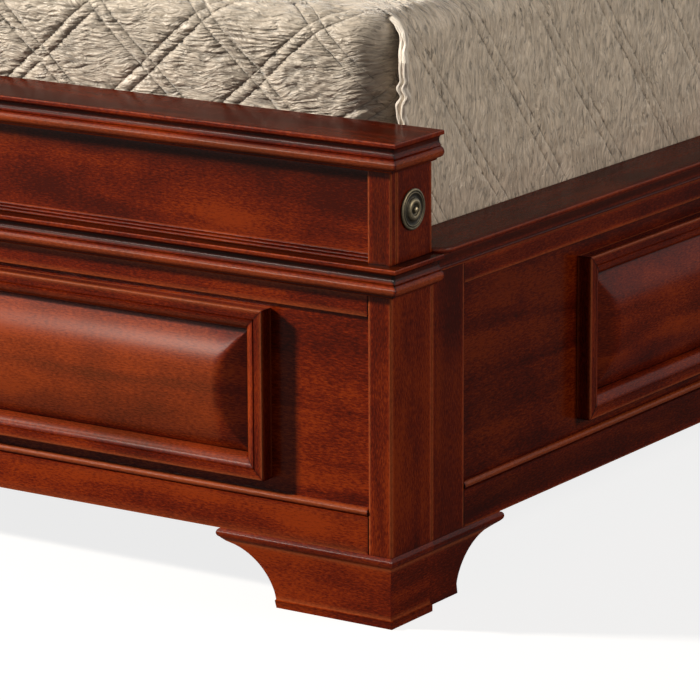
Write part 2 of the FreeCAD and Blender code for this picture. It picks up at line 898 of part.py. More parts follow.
def head_rails():
    """Cross rails between the posts: below the moulding, at the mattress top and near the floor."""
    mould_low = head_levels()[2]
    side = half_width - head_post_width
    y1 = head_y + head_panel_recess
    spans = ((mould_low - head_rail_height, mould_low),
             (head_field_bottom - head_rail_height, head_field_bottom),
             (head_low_rail_bottom, head_low_rail_bottom + head_rail_height))
    return [block(-side, side, head_y + joint_line, y1, z0, z1) for z0, z1 in spans]


def head_panels():
    """Frieze board in the upper band and the flat panel behind the rails."""
    cap_low, band_low, mould_low = head_levels()
    side = half_width - head_post_width
    y0 = head_y + head_panel_recess
    field = block(-side, side, y0, y0 + head_panel_thick, head_low_rail_bottom, mould_low)
    return [frieze_panel(head_y, band_low, cap_low, side), field]


def head_raised_panels():
    """Three framed pillow panels on the headboard's field."""
    mould_low = head_levels()[2]
    side = half_width - head_post_width
    top = mould_low - head_rail_height - head_raised_margin
    bottom = head_field_bottom + head_raised_margin
    space = 2 * (side - head_raised_margin) - (head_raised_count - 1) * head_raised_gap
    width = space / head_raised_count
    pieces = []
    for i in range(head_raised_count):
        x = -side + head_raised_margin + width / 2 + i * (width + head_raised_gap)
        for part in moulded_frame(width, top - bottom) + [pillow_panel(width, top - bottom)]:
            pieces.append(part.translated(FreeCAD.Vector(x, head_y + head_panel_recess, bottom)))
    return pieces


# Bedding


def mattress_form(grow, low, foot, head):
    """Crowned block with drawn-in sides, larger all round by grow; low is its underside."""
    half = mattress_width / 2 + grow
    edge_top = mattress_bottom + mattress_height - mattress_crown + grow
    crown_top = mattress_bottom + mattress_height + grow
    middle_z = (mattress_bottom + edge_top) / 2
    shoulder = edge_top - mattress_edge
    inner = half - mattress_edge
    bend = mattress_edge * (1 - math.cos(math.pi / 4))
    across = face(point_xz, (-half, low),
                  ((-half, mattress_bottom + mattress_edge),),
                  ((-half + mattress_draw_in, middle_z), (-half, shoulder)),
                  ((-half + bend, edge_top - bend), (-inner, edge_top)),
                  ((0, crown_top), (inner, edge_top)),
                  ((half - bend, edge_top - bend), (half, shoulder)),
                  ((half - mattress_draw_in, middle_z), (half, mattress_bottom + mattress_edge)),
                  ((half, low),))
    body = along_y(across, foot, head)
    length_middle = (foot + head) / 2
    lengthwise = face(point_yz, (foot, low),
                      ((foot, shoulder),),
                      ((foot + bend, edge_top - bend), (foot + mattress_edge, edge_top)),
                      ((length_middle, crown_top + grow), (head - mattress_edge, edge_top)),
                      ((head - bend, edge_top - bend), (head, shoulder)),
                      ((head, low),))
    return body.common(along_x(lengthwise, -half - overrun, half + overrun))


def mattress():
    form = mattress_form(0, mattress_bottom, mattress_foot_y, mattress_head_y)
    half = mattress_width / 2
    tall = form.BoundBox.ZMax + overrun
    bend = mattress_corner * (1 - math.cos(math.pi / 4))
    reach = mattress_corner + overrun
    corner = face(point_xy, (-half - overrun, mattress_foot_y + reach),
                  ((-half + bend, mattress_foot_y + bend), (-half + reach, mattress_foot_y - overrun)),
                  ((-half - overrun, mattress_foot_y - overrun),))
    cutter = along_z(corner, mattress_bottom - overrun, tall)
    return solids_of(form.cut(cutter).cut(mirrored(cutter)))


def coverlet():
    """Quilted cover: crowned top, straight side drops and a foot drop, split at the foot corners."""
    low = deck_top + cover_hem_lift
    outer = mattress_form(cover_clear + cover_thick, low, mattress_foot_y - cover_clear - cover_thick,
                          mattress_head_y)
    inner = mattress_form(cover_clear, low - overrun, mattress_foot_y - cover_clear,
                          mattress_head_y + 2 * mattress_edge)
    skin = outer.cut(inner)
    half = mattress_width / 2 + cover_clear
    split_top = mattress_bottom + mattress_height - mattress_crown - mattress_edge
    split = block(half - cover_split, half, mattress_foot_y - cover_thick - overrun,
                  mattress_foot_y + overrun, low - overrun, split_top)
    return solids_of(skin.cut(split).cut(mirrored(split)))


# The whole bed


def make_footboard():
    side = half_width - post_width
    save("foot_cap", moulded_board(face_y, post_back_y, cap_top))
    save("frieze_panel", frieze_panel(face_y, waist_top, cap_bottom, side))
    head_band_low = head_levels()[1]
    save("frieze_beads", frieze_strip(face_y, waist_top, side),
         frieze_strip(head_y, head_band_low, half_width - head_post_width))
    save("frieze_stiles", *both_sides(upper_stile()))
    back_reach = half_width - pull_front_thick - pull_clear
    save("footboard_back", block(-back_reach, back_reach, post_back_y - back_board_thick, post_back_y,
                                 waist_top, cap_bottom))
    save("waist_moulding", moulded_board(face_y, post_back_y, waist_top))
    save("foot_posts", *both_sides(foot_post()))
    top, bottom = foot_rails()
    save("foot_top_rail", top)
    save("foot_bottom_rail", bottom)
    panel = drawer_panel(2 * side, rail_bottom_top, front_recess_top, (-foot_face_x, foot_face_x),
                         foot_opening_width, foot_face_bottom + overlay)
    save("foot_drawer_panel", panel.translated(FreeCAD.Vector(0, front_panel_y, 0)))
    front, side_return = bracket_foot()
    feet = both_sides(front) + both_sides(side_return)
    save("bracket_feet", *feet, *both_sides(rail_wing()), *both_sides(head_wing()))


def make_side_rails():
    save("rail_ledges", *both_sides(ledge()))
    foot_end, head_end = rail_stiles()
    save("rail_stiles", *both_sides(foot_end), *both_sides(head_end))
    top, bottom = side_rails()
    save("rail_top_rails", *both_sides(top))
    save("rail_bottom_rails", *both_sides(bottom))
    save("rail_panels", *both_sides(side_panel()))
    save("hook_plates", *both_sides(hook_plate(post_back_y, 1)), *both_sides(hook_plate(head_y, -1)))


def make_end_drawers():
    front = pull_front()
    box = pull_box()
    knob = rosette_knob()
    save("end_drawer_right_front", front)
    save("end_drawer_left_front", mirrored(front))
    save("end_drawer_right_box", *box)
    save("end_drawer_left_box", *[mirrored(part) for part in box])
    save("end_drawer_right_knob", knob)
    save("end_drawer_left_knob", mirrored(knob))


def make_headboard():
    save("head_posts", *head_posts())
    save("head_cap", moulded_board(head_y, head_back_y, head_top))
    save("head_moulding", moulded_board(head_y, head_back_y, head_levels()[1]))
    save("head_rails", *head_rails())
    save("head_panels", *head_panels())
    save("head_raised_panels", *head_raised_panels())


def make_deck():
    save("bay_dividers", *bay_dividers())
    save("slat_cleats", *both_sides(slat_cleat()))
    save("slats", *slats())
    save("centre_support", *centre_support())


def make_bedding():
    save("mattress", mattress())
    save("coverlet", coverlet())


os.makedirs("parts", exist_ok=True)
make_footboard()
make_side_rails()
make_end_drawers()
make_drawers()
make_deck()
make_headboard()
make_bedding()
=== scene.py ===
"""Looks of the storage bed: stained cherry, turned brass rosettes and a crinkled, quilted coverlet."""
import json
import math
from functools import partial

import bpy
import numpy as np
from bpy.props import FloatProperty, FloatVectorProperty, IntProperty, PointerProperty, StringProperty
from mathutils import Matrix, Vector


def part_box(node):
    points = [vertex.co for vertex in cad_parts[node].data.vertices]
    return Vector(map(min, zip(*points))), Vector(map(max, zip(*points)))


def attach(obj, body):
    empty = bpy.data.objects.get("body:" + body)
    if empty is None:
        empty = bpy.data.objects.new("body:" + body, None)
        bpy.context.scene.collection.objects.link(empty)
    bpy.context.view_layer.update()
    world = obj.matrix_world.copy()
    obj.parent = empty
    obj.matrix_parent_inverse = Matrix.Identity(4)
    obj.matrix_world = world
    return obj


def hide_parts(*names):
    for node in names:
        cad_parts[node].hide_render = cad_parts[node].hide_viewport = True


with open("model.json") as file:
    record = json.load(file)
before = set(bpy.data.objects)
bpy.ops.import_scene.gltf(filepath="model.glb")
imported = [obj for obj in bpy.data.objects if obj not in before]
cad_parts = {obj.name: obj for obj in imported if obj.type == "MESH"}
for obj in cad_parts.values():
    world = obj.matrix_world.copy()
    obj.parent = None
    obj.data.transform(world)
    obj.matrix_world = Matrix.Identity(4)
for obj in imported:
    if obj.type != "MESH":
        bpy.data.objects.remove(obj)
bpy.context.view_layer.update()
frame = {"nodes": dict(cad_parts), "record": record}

bl_info = {
    "name": "Storage bed looks",
    "version": (1, 0, 0),
    "blender": (4, 5, 0),
    "location": "View3D > Sidebar > Bed",
    "description": "Mouldings, pillow drawer fronts, rosettes and bedding round the bed's frame",
    "category": "Object",
}

record_bodies = frame["record"]["behaviour"]["bodies"]
X, Y, UP = np.eye(3)
AXES = {"x": X, "y": Y, "z": UP}

# Sizes of the plain boards, in metres, where a node's box doesn't give them.
STILE = 0.031        # width of the footboard's posts and stiles
BOARD = 0.019        # thickness of the side rails' boards
RAIL_STILE = 0.068   # width of the side rails' stiles and of the ledge
HEAD_POST = 0.070    # width of the headboard's posts
HEAD_RAIL = 0.090    # height of the headboard's cross rails


def body_of_node(node):
    """Name of the moving or fixed body that a node belongs to."""
    return next(body for body, nodes in record_bodies.items() if node in nodes)


def corners(node):
    """Lowest and highest corner of a node, in metres."""
    low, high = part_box(node)
    return np.array(low), np.array(high)


class WoodSettings(bpy.types.PropertyGroup):
    """Stain and lacquer of the cherry."""
    light: StringProperty(name="Light stain", description="Colour of the open grain", default="#8E3209")
    middle: StringProperty(name="Middle stain", description="Main colour of the stain", default="#691B05")
    dark: StringProperty(name="Dark stain", description="Colour of the late wood", default="#430D02")
    # Dark colour of the glazing in grooves, and also of painted shade: darkened boards and faces mix towards
    # it.
    glaze: StringProperty(name="Glaze", description="Dark glaze left in grooves", default="#170602")
    # Colour of rubbed wear along edges, and of the painted highlight on the arrises.
    worn: StringProperty(name="Worn edge", description="Rubbed colour along edges", default="#A4532B")
    lacquer: FloatProperty(name="Lacquer roughness", description="Roughness of the clear coat",
                           default=0.24, min=0.0, max=1.0)


class MouldingSettings(bpy.types.PropertyGroup):
    """Sizes of the mouldings round the boards."""
    overhang: FloatProperty(name="Overhang", description="How far the moulded boards stand out",
                            default=0.016, unit="LENGTH")
    nose: FloatProperty(name="Nose", description="Thickness of the square nose",
                        default=0.0052, unit="LENGTH")
    frame_width: FloatProperty(name="Frame width", description="Width of the drawer fronts' moulded frame",
                               default=0.027, unit="LENGTH")
    slope: FloatProperty(name="Pillow slope", description="Width of the pillow's sloping edge",
                         default=0.044, unit="LENGTH")
    edge: FloatProperty(name="Pillow edge", description="Thickness of the pillow at its edge",
                        default=0.003, unit="LENGTH")
    crown: FloatProperty(name="Pillow crown", description="Thickness of the pillow along its middle",
                         default=0.0205, unit="LENGTH")


class BeddingSettings(bpy.types.PropertyGroup):
    """Quilting and crinkle of the coverlet."""
    across: FloatProperty(name="Diamond across", description="Width of a quilted diamond across the bed",
                          default=0.155, unit="LENGTH")
    along: FloatProperty(name="Diamond along", description="Length of a quilted diamond along the bed",
                         default=0.136, unit="LENGTH")
    valley: FloatProperty(name="Stitch depth", description="Depth of a stitched line",
                          default=0.0017, unit="LENGTH")
    crinkle: FloatProperty(name="Crinkle", description="Height of the crinkles",
                           default=0.0023, unit="LENGTH")
    cloth: StringProperty(name="Cloth", description="Colour of the coverlet", default="#E2D4C2")
    piping: StringProperty(name="Piping", description="Colour of the hem's cords", default="#EFE8DE")
    seed: IntProperty(name="Seed", description="Start of the crinkle pattern", default=7)


class StageSettings(bpy.types.PropertyGroup):
    """Camera and light."""
    lens: FloatProperty(name="Lens", description="Focal length in millimetres on a 36 mm sensor",
                        default=231.56)
    place: FloatVectorProperty(name="Camera place", description="Where the camera stands",
                               default=(3.4880, -5.1752, 1.5319), unit="LENGTH")
    yaw: FloatProperty(name="Yaw", description="Camera's turn from +Y towards +X, in degrees",
                       default=-33.5)
    pitch: FloatProperty(name="Pitch", description="Camera's tilt below the horizon, in degrees",
                         default=13.92)
    roll: FloatProperty(name="Roll", description="Camera's roll, in degrees", default=-0.226)


# Meshes


def mesh_parts():
    """An empty collection of mesh parts: points, faces, corner UVs and darkening by glazing and painted
    shade.
    """
    return {"points": [], "faces": [], "uv": [], "glaze": [], "count": 0}


def add_part(parts, points, faces, uv, glaze):
    """Adds points (n, 3), faces as lists of point numbers, one UV for each face corner, and darkening (n)
    by glazing and painted shade.
    """
    base = parts["count"]
    parts["points"].append(points)
    parts["faces"].extend([[int(i) + base for i in f] for f in faces])
    parts["uv"].append(uv)
    parts["glaze"].append(glaze)
    parts["count"] += len(points)


def grid_faces(rows, cols, wrap):
    """Quads of a grid of points; wrap joins the last column to the first."""
    index = np.arange(rows * cols).reshape(rows, cols)
    if wrap:
        index = np.hstack([index, index[:, :1]])
    return np.stack([index[:-1, :-1], index[:-1, 1:], index[1:, 1:], index[1:, :-1]], -1).reshape(-1, 4)


def grid_uv(uv):
    """Corner UVs of the grid's quads from the UVs at its nodes (rows, cols, 2)."""
    return np.stack([uv[:-1, :-1], uv[:-1, 1:], uv[1:, 1:], uv[1:, :-1]], 2).reshape(-1, 2)


def build(name, parts, material, body, replaced=(), crease=32.0, tone=0.0):
    """Makes the object, with smooth faces that break at edges sharper than crease degrees.

    tone is added to the darkening by glazing and painted shade, except on rubbed edges: above 0 for a
    darker board, below 0 for a lighter one.
    """
    mesh = bpy.data.meshes.new(name)
    mesh.from_pydata(np.concatenate(parts["points"]).tolist(), [], parts["faces"])
    corner_uv = np.concatenate(parts["uv"]).astype(np.float32)
    mesh.uv_layers.new(name="grain").data.foreach_set("uv", corner_uv.ravel())
    shade = np.concatenate(parts["glaze"])
    shade = shade + tone * np.clip(1 + 3 * shade, 0, 1)
    glaze = mesh.attributes.new("glaze", "FLOAT", "POINT")
    glaze.data.foreach_set("value", shade.astype(np.float32))
    mesh.polygons.foreach_set("use_smooth", np.ones(len(mesh.polygons), bool))
    mesh.set_sharp_from_angle(angle=math.radians(crease))
    mesh.materials.append(material)
    mesh.update()
    piece = bpy.data.objects.new(name, mesh)
    bpy.context.scene.collection.objects.link(piece)
    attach(piece, body)
    if replaced:
        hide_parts(*replaced)
    return piece


def outward(points, faces):
    """Whether a closed shape's faces point outwards: its signed volume isn't negative."""
    volume = 0.0
    for f in faces:
        a, b, c = points[f[0]], points[f[1:-1]], points[f[2:]]
        volume += float(np.einsum("ij,ij->", np.cross(b, c), np.broadcast_to(a, b.shape)))
    return volume >= 0


def closed_part(parts, points, faces, uv, glaze):
    """Adds a closed shape with its faces pointing outwards."""
    faces = [np.asarray(f) for f in faces]
    if not outward(points, faces):
        starts = np.cumsum([0] + [len(f) for f in faces])
        uv = np.concatenate([uv[a:b][::-1] for a, b in zip(starts[:-1], starts[1:])])
        faces = [f[::-1] for f in faces]
    add_part(parts, points, faces, uv, glaze)


def at_heights(plan, heights):
    """Points (rows, cols, 3) of a plan's rows (rows, cols, 2), each row at its own height."""
    return np.concatenate([plan, np.broadcast_to(heights[:, None, None], plan.shape[:2] + (1,))], -1)


def ringed(parts, points, uv, glaze, end_uv=None):
    """Adds closed rings of points (rows, cols, 3) as one solid, with a flat face over either end.

    uv has a place for each point, and may have one column more, for the far side of the seam. end_uv
    gives the end faces' own UVs, and the darkening by glazing and painted shade is one number, one for
    each ring or one for each point.
    """
    rows, cols = points.shape[:2]
    if uv.shape[1] == cols:
        uv = np.concatenate([uv, uv[:, :1]], 1)
    faces = list(grid_faces(rows, cols, True)) + [np.arange(cols), np.arange(cols) + (rows - 1) * cols]
    ends = uv[[0, -1], :-1] if end_uv is None else end_uv
    closed_part(parts, points.reshape(-1, 3), faces, np.concatenate([grid_uv(uv), *ends]),
                (np.zeros((rows, cols)) + glaze).ravel())


def traced(start, *steps, fine=9):
    """Points along straight steps (end,) and arcs (middle, end).

    An arc's centre is where the perpendiculars of its two chords meet, and its points stand at even
    angles from start to end by way of the middle.
    """
    line = [np.array(start, float)]
    for step in steps:
        end = np.array(step[-1], float)
        if len(step) == 1:
            line.append(end)
            continue
        here, middle = line[-1], np.array(step[0], float)
        sides = np.array([middle - here, end - here])
        centre = here + np.linalg.solve(2 * sides, (sides ** 2).sum(1))
        turn = [math.atan2(*(p - centre)[::-1]) for p in (here, middle, end)]
        mid = (turn[1] - turn[0]) % math.tau
        sweep = (turn[2] - turn[0]) % math.tau
        if mid > sweep:
            sweep -= math.tau
        angles = turn[0] + sweep * np.linspace(0, 1, fine)[1:]
        radius = np.linalg.norm(here - centre)
        line.extend(centre + radius * np.stack([np.cos(angles), np.sin(angles)], 1))
    return np.array(line)


def filled_in(line, step=0.0025, closed=True):
    """The same outline with points added along its long straights, for the glaze to change on."""
    ends = np.roll(line, -1, axis=0) if closed else line[1:]
    starts = line if closed else line[:-1]
    out = []
    for a, b in zip(starts, ends):
        count = max(1, min(6, int(np.linalg.norm(b - a) / step)))
        if count == 1:
            share = np.zeros(1)
        else:
            share = np.concatenate([[0], 0.5 - 0.5 * np.cos(np.linspace(0, math.pi, count + 1)[1:-1])])
        out.append(a + share[:, None] * (b - a))
    if not closed:
        out.append(line[-1:])
    return np.concatenate(out)


def hollows(line, reach=0.0024, closed=True):
    """Glazing and painted shade along an outline: up to 0.66 in its hollows, and down to -0.5 on its
    edges, which are lighter as rubbed wear and painted highlight.

    Each point's turning angle, counted as a hollow where it turns inwards, is spread to its neighbours
    by a bell curve of width reach.
    """
    before = line - np.roll(line, 1, axis=0)
    after = np.roll(line, -1, axis=0) - line
    if not closed:
        before[0], after[-1] = after[0], before[-1]
    turn = np.arctan2(before[:, 0] * after[:, 1] - before[:, 1] * after[:, 0], (before * after).sum(1))
    area = 0.5 * np.sum(line[:, 0] * np.roll(line[:, 1], -1) - np.roll(line[:, 0], -1) * line[:, 1])
    turn = -turn * (np.sign(area) if closed else 1.0)
    along = np.concatenate([[0], np.cumsum(np.linalg.norm(np.diff(line, axis=0), axis=1))])
    total = along[-1] + np.linalg.norm(line[0] - line[-1])
    gap = np.abs(along[:, None] - along[None, :])
    if closed:
        gap = np.minimum(gap, total - gap)
    spread = np.exp(-(gap / reach) ** 2)
    deep = spread @ np.clip(turn, 0, None)
    proud = spread @ np.clip(-turn, 0, None)
    return np.clip(deep * 1.25, 0, 0.66) - np.clip(proud * 0.48, 0, 0.50)


def grain_shift(key):
    """A board's own place in the grain pattern, from its name."""
    number = sum((i + 3) * ord(c) for i, c in enumerate(key))
    return np.array([(number * 0.137) % 7.0, (number * 0.0713) % 3.0])


def stick(parts, key, outline, origin, run, out, up, length, start_slant=0.0, end_slant=0.0, ends=0.6):
    """A section carried along a straight run, with slanted ends.

    A point is origin + run * t + out * o + up * z, where (o, z) goes round the outline, and t goes from
    start_slant * o to length + end_slant * o. Glaze gathers at both ends. The grain lies along the run.
    """
    outline = filled_in(np.asarray(outline, float))
    glaze = hollows(outline)
    o, z = outline[:, 0], outline[:, 1]
    inset = min(0.0012, length / 8)
    stations = np.array([0, inset, 3 * inset, length / 2, length - 3 * inset, length - inset, length])
    share = stations / length
    t = (start_slant * o)[None, :] * (1 - share[:, None]) + (length + end_slant * o)[None, :] * share[:, None]
    points = (np.asarray(origin) + t[..., None] * np.asarray(run) + o[None, :, None] * np.asarray(out)
              + z[None, :, None] * np.asarray(up))
    loop = np.vstack([outline, outline[:1]])
    around = np.concatenate([[0], np.cumsum(np.linalg.norm(np.diff(loop, axis=0), axis=1))])
    t_wrap = np.hstack([t, t[:, :1]])
    uv = np.stack([t_wrap, np.broadcast_to(around, t_wrap.shape)], -1) + grain_shift(key)
    end_uv = [np.stack([o * 0.15 + t[row], z], 1) + grain_shift(key) for row in (0, -1)]
    rim = np.array([ends, 0.25 * ends, 0, 0, 0, 0.25 * ends, ends])
    ringed(parts, points, uv, np.clip(glaze[None, :] + rim[:, None], -1, 1), end_uv)


def rounded(width, height, radius=0.0011, fine=4):
    """Outline of a board's section with eased edges, centred on (0, 0)."""
    w, h = width / 2 - radius, height / 2 - radius
    angles = np.linspace(0, math.pi / 2, fine)
    out = []
    for quarter, (x, y) in enumerate(((w, h), (-w, h), (-w, -h), (w, -h))):
        turn = angles + quarter * math.pi / 2
        out.append(np.stack([x + radius * np.cos(turn), y + radius * np.sin(turn)], 1))
    return np.concatenate(out)


def board(parts, key, low, high, grain, radius=0.0011, ends=0.6):
    """A plain board between two corners: its eased section carried along the grain's axis."""
    low, high = np.asarray(low, float), np.asarray(high, float)
    size, middle = high - low, (low + high) / 2
    run = AXES[grain]
    others = [a for a in "xyz" if a != grain]
    out, up = AXES[others[0]], AXES[others[1]]
    origin = middle - run * (size @ run) / 2
    stick(parts, key, rounded(size @ out, size @ up, radius), origin, run, out, up, size @ run, ends=ends)


def both_sides(parts):
    """The parts and their mirror halves on the bed's other side.

    The mirrored faces are turned round again, and their grain is shifted by 0.37 m.
    """
    starts = np.cumsum([0] + [len(f) for f in parts["faces"]])
    uv = np.concatenate(parts["uv"])
    turned_uv = np.concatenate([uv[a:b][::-1] for a, b in zip(starts[:-1], starts[1:])]) + 0.37
    count = parts["count"]
    return {"points": parts["points"] + [p * np.array([-1.0, 1, 1]) for p in parts["points"]],
            "faces": parts["faces"] + [[i + count for i in f[::-1]] for f in parts["faces"]],
            "uv": parts["uv"] + [turned_uv],
            "glaze": parts["glaze"] * 2,
            "count": 2 * count}


# Materials


def linear(code):
    """A hex sRGB colour as linear RGBA: each channel c becomes ((c + 0.055) / 1.055) ** 2.4."""
    rgb = [int(code.lstrip("#")[i:i + 2], 16) / 255 for i in (0, 2, 4)]
    return [c / 12.92 if c <= 0.04045 else ((c + 0.055) / 1.055) ** 2.4 for c in rgb] + [1.0]


def connect(tree, node, sockets):
    """Sets a node's inputs to values, or links them to other nodes' outputs."""
    for key, value in sockets.items():
        if isinstance(value, bpy.types.NodeSocket):
            tree.links.new(value, node.inputs[key])
        else:
            node.inputs[key].default_value = value


def add_node(tree, kind, sockets=None, out=0, ramp=None, **settings):
    """Adds a node with its settings, inputs and colour stops: its output out, or the node if out is None."""
    made = tree.nodes.new("ShaderNode" + kind)
    for key, value in settings.items():
        setattr(made, key, value)
    connect(tree, made, sockets or {})
    if ramp:
        stops = made.color_ramp.elements
        while len(stops) < len(ramp):
            stops.new(0.5)
        for stop, (place, colour) in zip(stops, ramp):
            stop.position, stop.color = place, colour
    return made if out is None else made.outputs[out]


def new_material(name):
    """A new material, with functions that add a node to it and that set or link its shader's inputs."""
    material = bpy.data.materials.new(name)
    material.use_nodes = True
    tree = material.node_tree
    return material, partial(add_node, tree), partial(connect, tree, tree.nodes["Principled BSDF"])


def cherry(name, settings, along=None, tone=0.0):
    """Stained cherry under a thin rubbed lacquer: clouded stain, fine orange flecks and short dark pores.

    The stain clouds over 125 mm, its figure is 45 mm wide, a fleck is 1.6 mm by 6 mm, and a pore 1.2 mm by
    9 mm, the last two drawn twice as coarse as real ones so that they show. Darkening above 0 mixes in the
    dark colour, as glazing and painted shade in the hollows and as painted shade over whole boards; below 0
    the edges turn lighter, as rubbed wear and painted highlight. along gives the grain's axis for pieces
    without a grain map, and tone adds to the darkening all over.
    """
    material, node, finish = new_material(name)
    coords = node("TexCoord", out="Object")
    if along is None:
        place = node("UVMap", uv_map="grain")
    else:
        turn = {"x": (0, 0, 0), "y": (0, 0, -math.pi / 2), "z": (0, math.pi / 2, 0)}[along]
        place = node("Mapping", {"Vector": coords, "Rotation": turn})
    figure, flecks, pores, clouds = (
        node("TexNoise", {"Vector": node("Mapping", {"Vector": vector, "Scale": (length, width, width)}),
                          "Scale": 1.0, "Detail": detail, "Roughness": rough, "Distortion": bent})
        for vector, length, width, detail, rough, bent in (
            (place, 3.0, 22.0, 4.0, 0.55, 0.6), (place, 160.0, 640.0, 3.0, 0.65, 0.3),
            (place, 110.0, 820.0, 2.0, 0.70, 0.0), (coords, 8.0, 8.0, 3.0, 0.55, 0.0)))
    blend = 0.0
    for value, share in ((figure, 0.36), (flecks, 0.37), (clouds, 0.27)):
        blend = node("Math", {0: value, 1: share, 2: blend}, operation="MULTIPLY_ADD")
    dark, middle, light = (linear(c) for c in (settings.dark, settings.middle, settings.light))
    stain = node("ValToRGB", {"Fac": blend}, ramp=[(0.42, dark), (0.50, middle), (0.58, light)])
    pore = node("MapRange", {"Value": pores, 1: 0.32, 2: 0.43, 3: 0.65, 4: 0.0})
    # Painted shade and glazing: the darkening attribute plus tone mixes the stain towards the dark colour,
    # and below 0 towards the rubbed edge colour, as wear and painted highlight.
    glaze = node("Math", {0: node("Attribute", out="Fac", attribute_name="glaze"), 1: tone}, operation="ADD")
    uneven = node("Math", {0: clouds, 1: 0.9, 2: 0.5}, operation="MULTIPLY_ADD")
    hollow = node("Math", {0: glaze, 1: uneven}, operation="MULTIPLY")
    rubbed = node("Math", {0: glaze, 1: -2.2}, operation="MULTIPLY")
    edge = node("Math", {0: rubbed, 1: flecks}, operation="MULTIPLY")
    for factor, colour in ((pore, dark), (edge, linear(settings.worn)), (hollow, linear(settings.glaze))):
        stain = node("Mix", {0: factor, 6: stain, 7: colour}, out=2, data_type="RGBA", clamp_factor=True)
    height = node("Math", {0: pores, 1: 0.5, 2: flecks}, operation="MULTIPLY_ADD")
    finish({"Base Color": stain, "Roughness": node("MapRange", {"Value": figure, 3: 0.29, 4: 0.36}),
            "Normal": node("Bump", {"Height": height, "Strength": 0.10, "Distance": 0.0006}),
            "Specular IOR Level": 0.0, "Coat Weight": 0.28, "Coat Roughness": settings.lacquer,
            "Coat IOR": 1.5})
    return material


def plain_wood(name, along, light, dark):
    """Clear-finished secondary wood of the drawer boxes and the deck, with faint straight grain."""
    material, node, finish = new_material(name)
    scale = (3.0, 160.0, 160.0) if along == "x" else (160.0, 3.0, 160.0)
    spread = node("Mapping", {"Vector": node("TexCoord", out="Object"), "Scale": scale})
    grain = node("TexNoise", {"Vector": spread, "Scale": 1.0, "Detail": 4.0})
    finish({"Base Color": node("ValToRGB", {"Fac": grain}, ramp=[(0.3, linear(dark)), (0.7, linear(light))]),
            "Normal": node("Bump", {"Height": grain, "Strength": 0.15, "Distance": 0.0005}),
            "Roughness": 0.5})
    return material


def zinc_steel():
    """Zinc-plated rolled steel: pale grey with a cloudy spangle 17 mm across."""
    material, node, finish = new_material("zinc plated steel")
    cloud = node("TexNoise", {"Vector": node("TexCoord", out="Object"), "Scale": 60.0, "Detail": 4.0})
    greys = [(0.35, linear("#8E9093")), (0.65, linear("#B9BBBE"))]
    finish({"Base Color": node("ValToRGB", {"Fac": cloud}, ramp=greys),
            "Roughness": node("MapRange", {"Value": cloud, 3: 0.3, 4: 0.45}), "Metallic": 1.0})
    return material


def aged_brass():
    """Cast and turned brass with a black wash: bright on the raised rings, dark in the hollows."""
    material, node, finish = new_material("aged brass")
    cloud = node("TexNoise", {"Vector": node("TexCoord", out="Object"), "Scale": 260.0, "Detail": 5.0,
                              "Roughness": 0.65})
    glaze = node("Attribute", out="Fac", attribute_name="glaze")
    patches = node("Math", {0: cloud, 1: 0.45}, operation="MULTIPLY")
    wash = node("Math", {0: glaze, 1: 0.9, 2: patches}, operation="MULTIPLY_ADD")
    browns = [(0.14, linear("#A7977A")), (0.46, linear("#6A614E")), (0.95, linear("#1B1814"))]
    finish({"Base Color": node("ValToRGB", {"Fac": wash}, ramp=browns),
            "Roughness": node("MapRange", {"Value": wash, 3: 0.24, 4: 0.6}),
            "Metallic": node("MapRange", {"Value": wash, 1: 0.5, 2: 1.0, 3: 1.0, 4: 0.6}),
            "Normal": node("Bump", {"Height": cloud, "Strength": 0.2, "Distance": 0.0003})})
    return material


